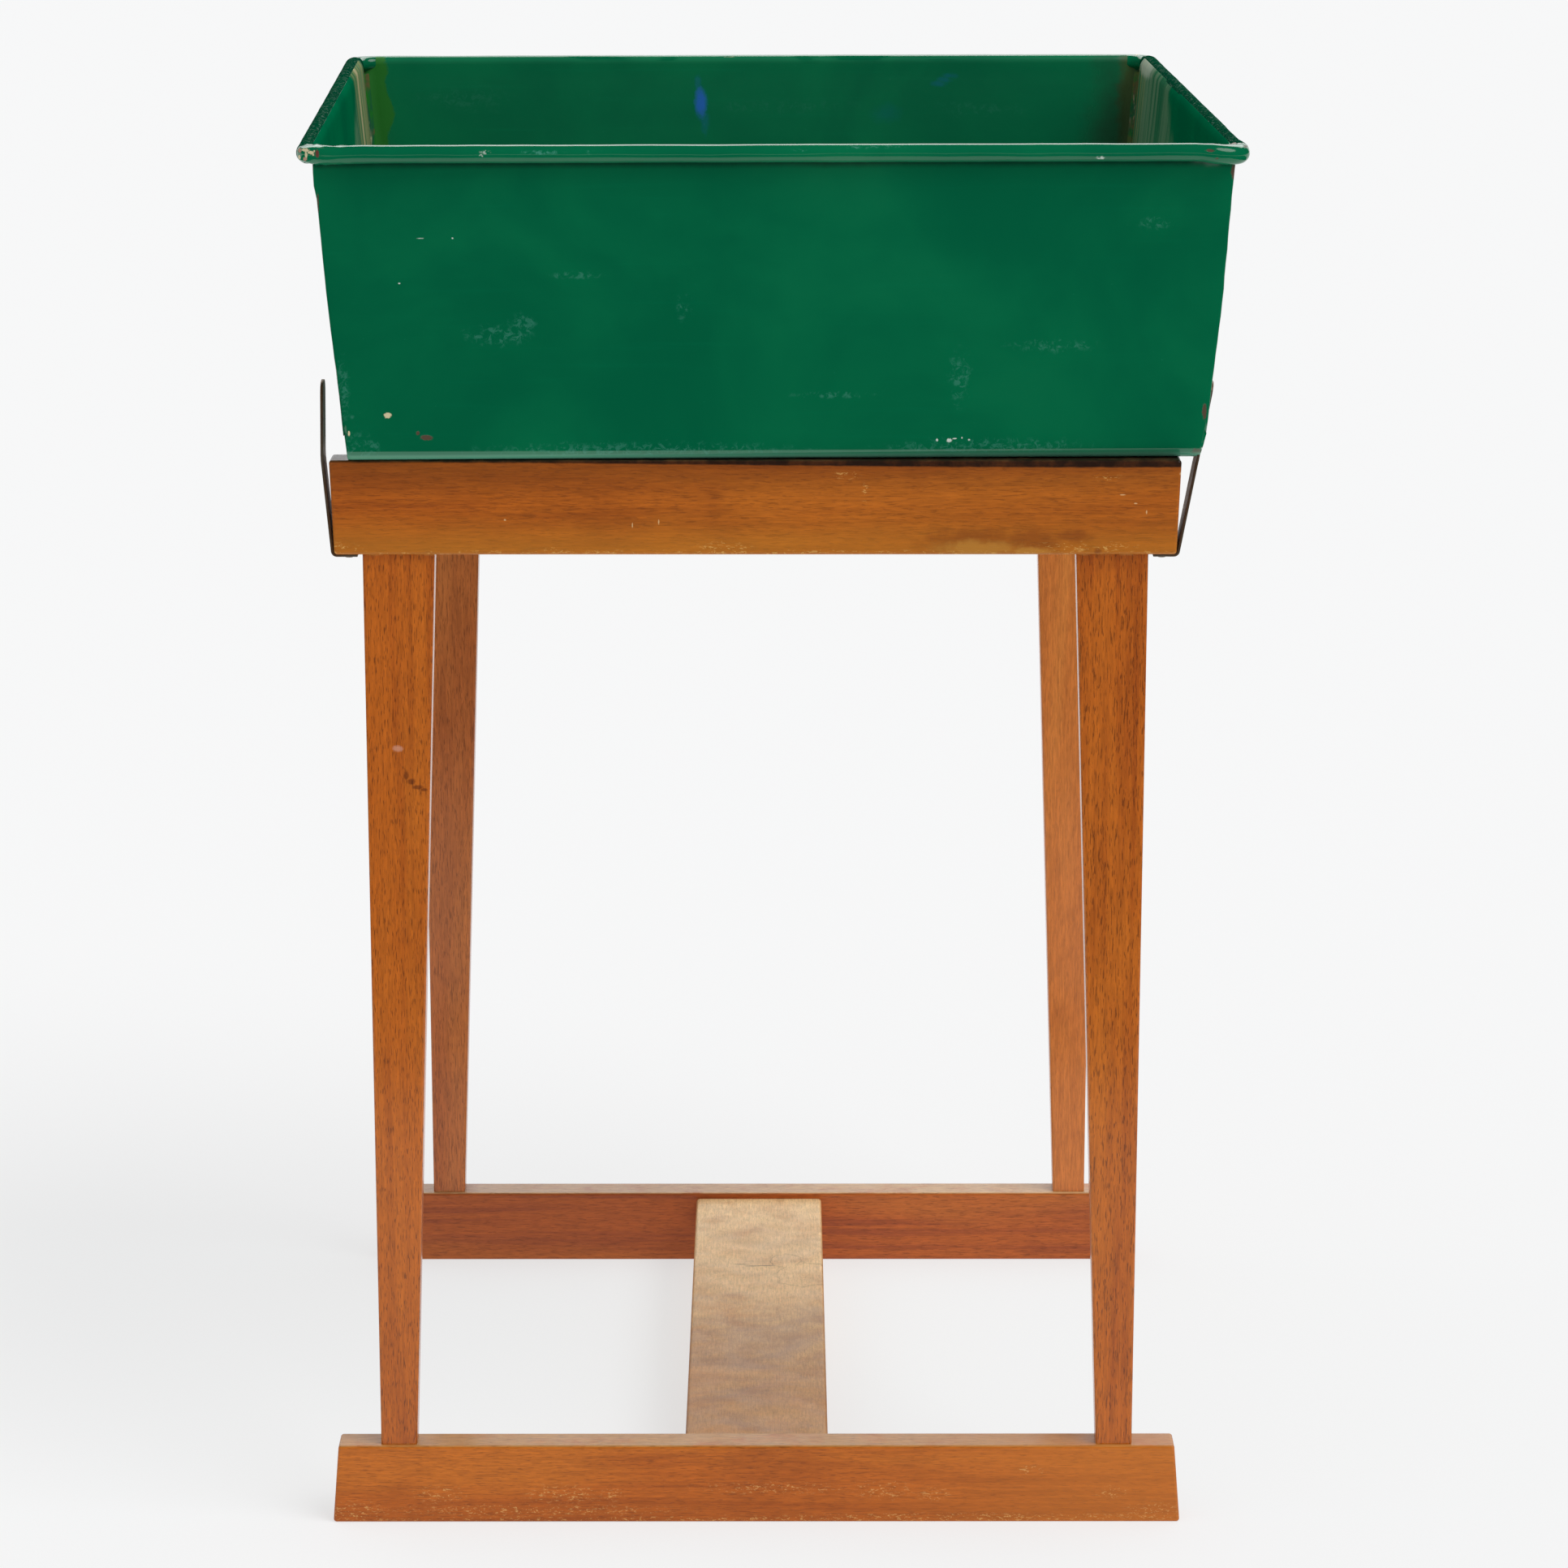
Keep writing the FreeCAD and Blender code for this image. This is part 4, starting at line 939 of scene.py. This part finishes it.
rim = new_object("painted_rolled_rim", *build_rim(), rim_paint, "pan", matrix=PAN)
rim.data.materials.append(side_rim_paint)
for polygon in rim.data.polygons:
    on_side = abs(polygon.center.x) > RIM_X - 5 * MM and abs(polygon.center.y) < RIM_Y - 8 * MM
    polygon.material_index = 1 if on_side else 0
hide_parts("rolled_rim")

# ------------------------------------------------------------------- the clips

STRIP = 1.25 * MM                # thickness
STRIP_HALF = 7.75 * MM           # half width
BEND_INSIDE = 1.5 * MM
ARM_KINK, ARM_LONG = 43 * MM, 78 * MM           # along the arm, from its bend
TIP = 6 * MM                     # radius of its rounded corners
# side (1 is right), lean of the arm and of its upper part in degrees outward from upright,
# and how far in mm the tip leans to the rear
CLIPS = {
    "front_left": (-1, 5.3, -0.7, 0.0),
    "front_right": (1, 11.7, 10.4, 6.3),
    "rear_left": (-1, 6.9, 3.9, 0.0),
    "rear_right": (1, 5.3, -0.7, 0.0),
}


def strip_stations(toe, bend_x, bend_z, lean, top_lean, back):
    """(x, z, normal, half width, shift in y) along one strip, from its foot to its tip.

    toe is the foot's free end, and bend_x and bend_z are the middle of the bend, all as on
    the right side.
    """
    middle = BEND_INSIDE + STRIP / 2
    stations = []
    for i in range(6):
        x = toe + (bend_x - toe) * i / 6
        stations.append((x, bend_z - middle, -math.pi / 2, STRIP_HALF, 0.0))
    low, high = -math.pi / 2, -math.radians(lean)
    for i in range(9):
        angle = low + (high - low) * i / 8
        stations.append((bend_x + middle * math.cos(angle), bend_z + middle * math.sin(angle),
                         angle, STRIP_HALF, 0.0))
    a, b = math.radians(lean), math.radians(top_lean)
    start_x = bend_x + middle * math.cos(a)
    start_z = bend_z - middle * math.sin(a)
    heights = [3 * i * MM for i in range(1, 24)] + [
        (ARM_LONG - TIP) + TIP * math.sin(math.pi / 2 * i / 7) for i in range(8)]
    for h in heights:
        near = min(h, ARM_KINK)
        beyond = max(h - ARM_KINK, 0.0)
        blend = smoothstep(h, ARM_KINK - 0.006, ARM_KINK + 0.006)
        x = start_x + near * math.sin(a) + beyond * math.sin(b)
        z = start_z + near * math.cos(a) + beyond * math.cos(b)
        tip = max(h - (ARM_LONG - TIP), 0.0)
        half = STRIP_HALF - TIP + math.sqrt(max(TIP ** 2 - tip ** 2, 0.0))
        shift = h / ARM_LONG * 2 * back * MM if h < ARM_LONG / 2 else back * MM
        stations.append((x, z, -(a + (b - a) * blend), max(half, 0.3 * MM), shift))
    return stations


def build_strip(side, stations, middle_y):
    """A strip with narrow chamfers, swept along its stations."""
    edge = 0.3 * MM
    half = STRIP / 2
    ring = 8
    verts = []
    for x, z, angle, wide, shift in stations:
        normal = Vector((math.cos(angle), math.sin(angle)))
        for n, w in ((half, -wide + edge), (half, wide - edge), (half - edge, wide),
                     (-half + edge, wide), (-half, wide - edge), (-half, -wide + edge),
                     (-half + edge, -wide), (half - edge, -wide)):
            p = Vector((x, z)) + normal * n
            verts.append((side * p.x, middle_y + shift + w, p.y))
    faces = quads(len(stations), ring, ring=True)
    last = (len(stations) - 1) * ring
    faces.append(tuple(range(ring - 1, -1, -1)))
    faces.append(tuple(last + i for i in range(ring)))
    return verts, faces if side > 0 else flipped(faces)


for clip, (side, lean, top_lean, back) in CLIPS.items():
    foot_low, foot_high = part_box(f"{clip}_clip_foot")
    toe, heel = sorted((abs(foot_low.x), abs(foot_high.x)))
    middle_y = (foot_low.y + foot_high.y) / 2
    bend_x = heel - STRIP - BEND_INSIDE
    bend_z = foot_low.z + STRIP + BEND_INSIDE
    stations = strip_stations(toe, bend_x, bend_z, lean, top_lean, back)
    strip = new_object(f"{clip}_clip_strip", *build_strip(side, stations, middle_y),
                       strip_steel)
    strip.data.set_sharp_from_angle(angle=math.radians(40))
    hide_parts(f"{clip}_clip_foot", f"{clip}_clip_arm")
    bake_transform(strip)
    give(f"{clip}_clip_screw", screw_steel)

# ------------------------------------------------------------ floor and lights


PAPER = (0.36, 0.36, 0.36, 1.0)
PAPER_GRAIN = (0.37, 0.37, 0.37, 1.0)
PAPER_GLOW = 0.60
FLOOR = 30.0                     # half the floor's length
FLAG_NEAR, FLAG_FAR, FLAG_HEIGHT = 0.95, 6.0, 0.004
LIGHT_HALF = 2.5                 # half the width of the two bright planes behind
SUN_FROM = Vector((0.62, -0.42, 0.95))
SUN_STRENGTH = 1.15
SUN_ANGLE = 38                   # degrees; a wide sun for soft shadows
WORLD_LIGHT, WORLD_GLOSSY, WORLD_SEEN = 0.80, 0.02, 0.93
GLOSSY_ONLY = {"camera": False, "diffuse": False, "shadow": False, "transmission": False}


def plane(name, corners, material, **visible):
    """A flat piece of the stage, hidden from the kinds of ray that are given as False."""
    stage = new_object(name, corners, [tuple(range(len(corners)))], material, smooth=False)
    for ray, seen in visible.items():
        setattr(stage, f"visible_{ray}", seen)


def paper():
    """White paper, lit a little from below so that its shadows stay faint."""
    s = Shader("floor_paper", "AddShader")
    faint = s.noise(s.place, 900, 2)
    tone = s.mix(s.step(faint, 0.3, 0.7), PAPER, PAPER_GRAIN)
    lit = s.add("BsdfDiffuse", {"Color": tone})
    own = s.add("Emission", {"Color": (0.99, 0.995, 1.0, 1.0), "Strength": PAPER_GLOW})
    s.links.new(lit, s.surface.inputs[0])
    s.links.new(own, s.surface.inputs[1])
    return s.material


def glow(name, strength):
    """An even light, or black at no strength."""
    return Shader(name, "Emission").finish(Strength=strength)


def add_flags():
    """Black planes on the floor in front and beside, which only reflections show."""
    black = glow("flag_black", 0.0)
    near, far, height = FLAG_NEAR, FLAG_FAR, FLAG_HEIGHT
    for i, (x_low, x_high, y_low, y_high) in enumerate((
        (-far, far, -far, -near), (-far, -near, -near, near), (near, far, -near, near),
    )):
        plane(f"flag_{i}", [(x_low, y_low, height), (x_high, y_low, height),
                            (x_high, y_high, height), (x_low, y_high, height)],
              black, **GLOSSY_ONLY)


def add_light_plane(name, strength, low, high):
    """A bright plane from one line to another, both given as (y, z)."""
    corners = [(-LIGHT_HALF, *low), (LIGHT_HALF, *low), (LIGHT_HALF, *high), (-LIGHT_HALF, *high)]
    plane(f"{name}_light", corners, glow(f"{name}_glow", strength), **GLOSSY_ONLY)


def add_sun():
    sun = bpy.data.objects.new("key", bpy.data.lights.new("key", "SUN"))
    sun.data.energy = SUN_STRENGTH
    sun.data.angle = math.radians(SUN_ANGLE)
    sun.rotation_euler = SUN_FROM.to_track_quat("Z", "Y").to_euler()
    bpy.context.collection.objects.link(sun)


def add_world():
    """White all round, of one strength as light, one in reflections and one to the camera."""
    world = bpy.data.worlds.new("studio")
    world.use_nodes = True
    bpy.context.scene.world = world
    nodes, links = world.node_tree.nodes, world.node_tree.links
    nodes.clear()
    path = nodes.new("ShaderNodeLightPath")
    background = nodes.new("ShaderNodeBackground")
    amount = nodes.new("ShaderNodeMix")
    amount.inputs[2].default_value = WORLD_LIGHT
    amount.inputs[3].default_value = WORLD_GLOSSY
    links.new(path.outputs["Is Glossy Ray"], amount.inputs[0])
    seen = nodes.new("ShaderNodeMix")
    seen.inputs[3].default_value = WORLD_SEEN
    links.new(path.outputs["Is Camera Ray"], seen.inputs[0])
    links.new(amount.outputs[0], seen.inputs[2])
    links.new(seen.outputs[0], background.inputs["Strength"])
    links.new(background.outputs[0], nodes.new("ShaderNodeOutputWorld").inputs[0])


plane("floor", [(-FLOOR, -FLOOR, 0), (FLOOR, -FLOOR, 0), (FLOOR, FLOOR, 0), (-FLOOR, FLOOR, 0)],
      paper())
add_flags()
add_light_plane("backdrop", 1.3, (3.0, 0.3), (3.0, 2.4))
add_light_plane("top", 4.0, (3.0, 2.4), (1.5, 3.0))
add_sun()
add_world()
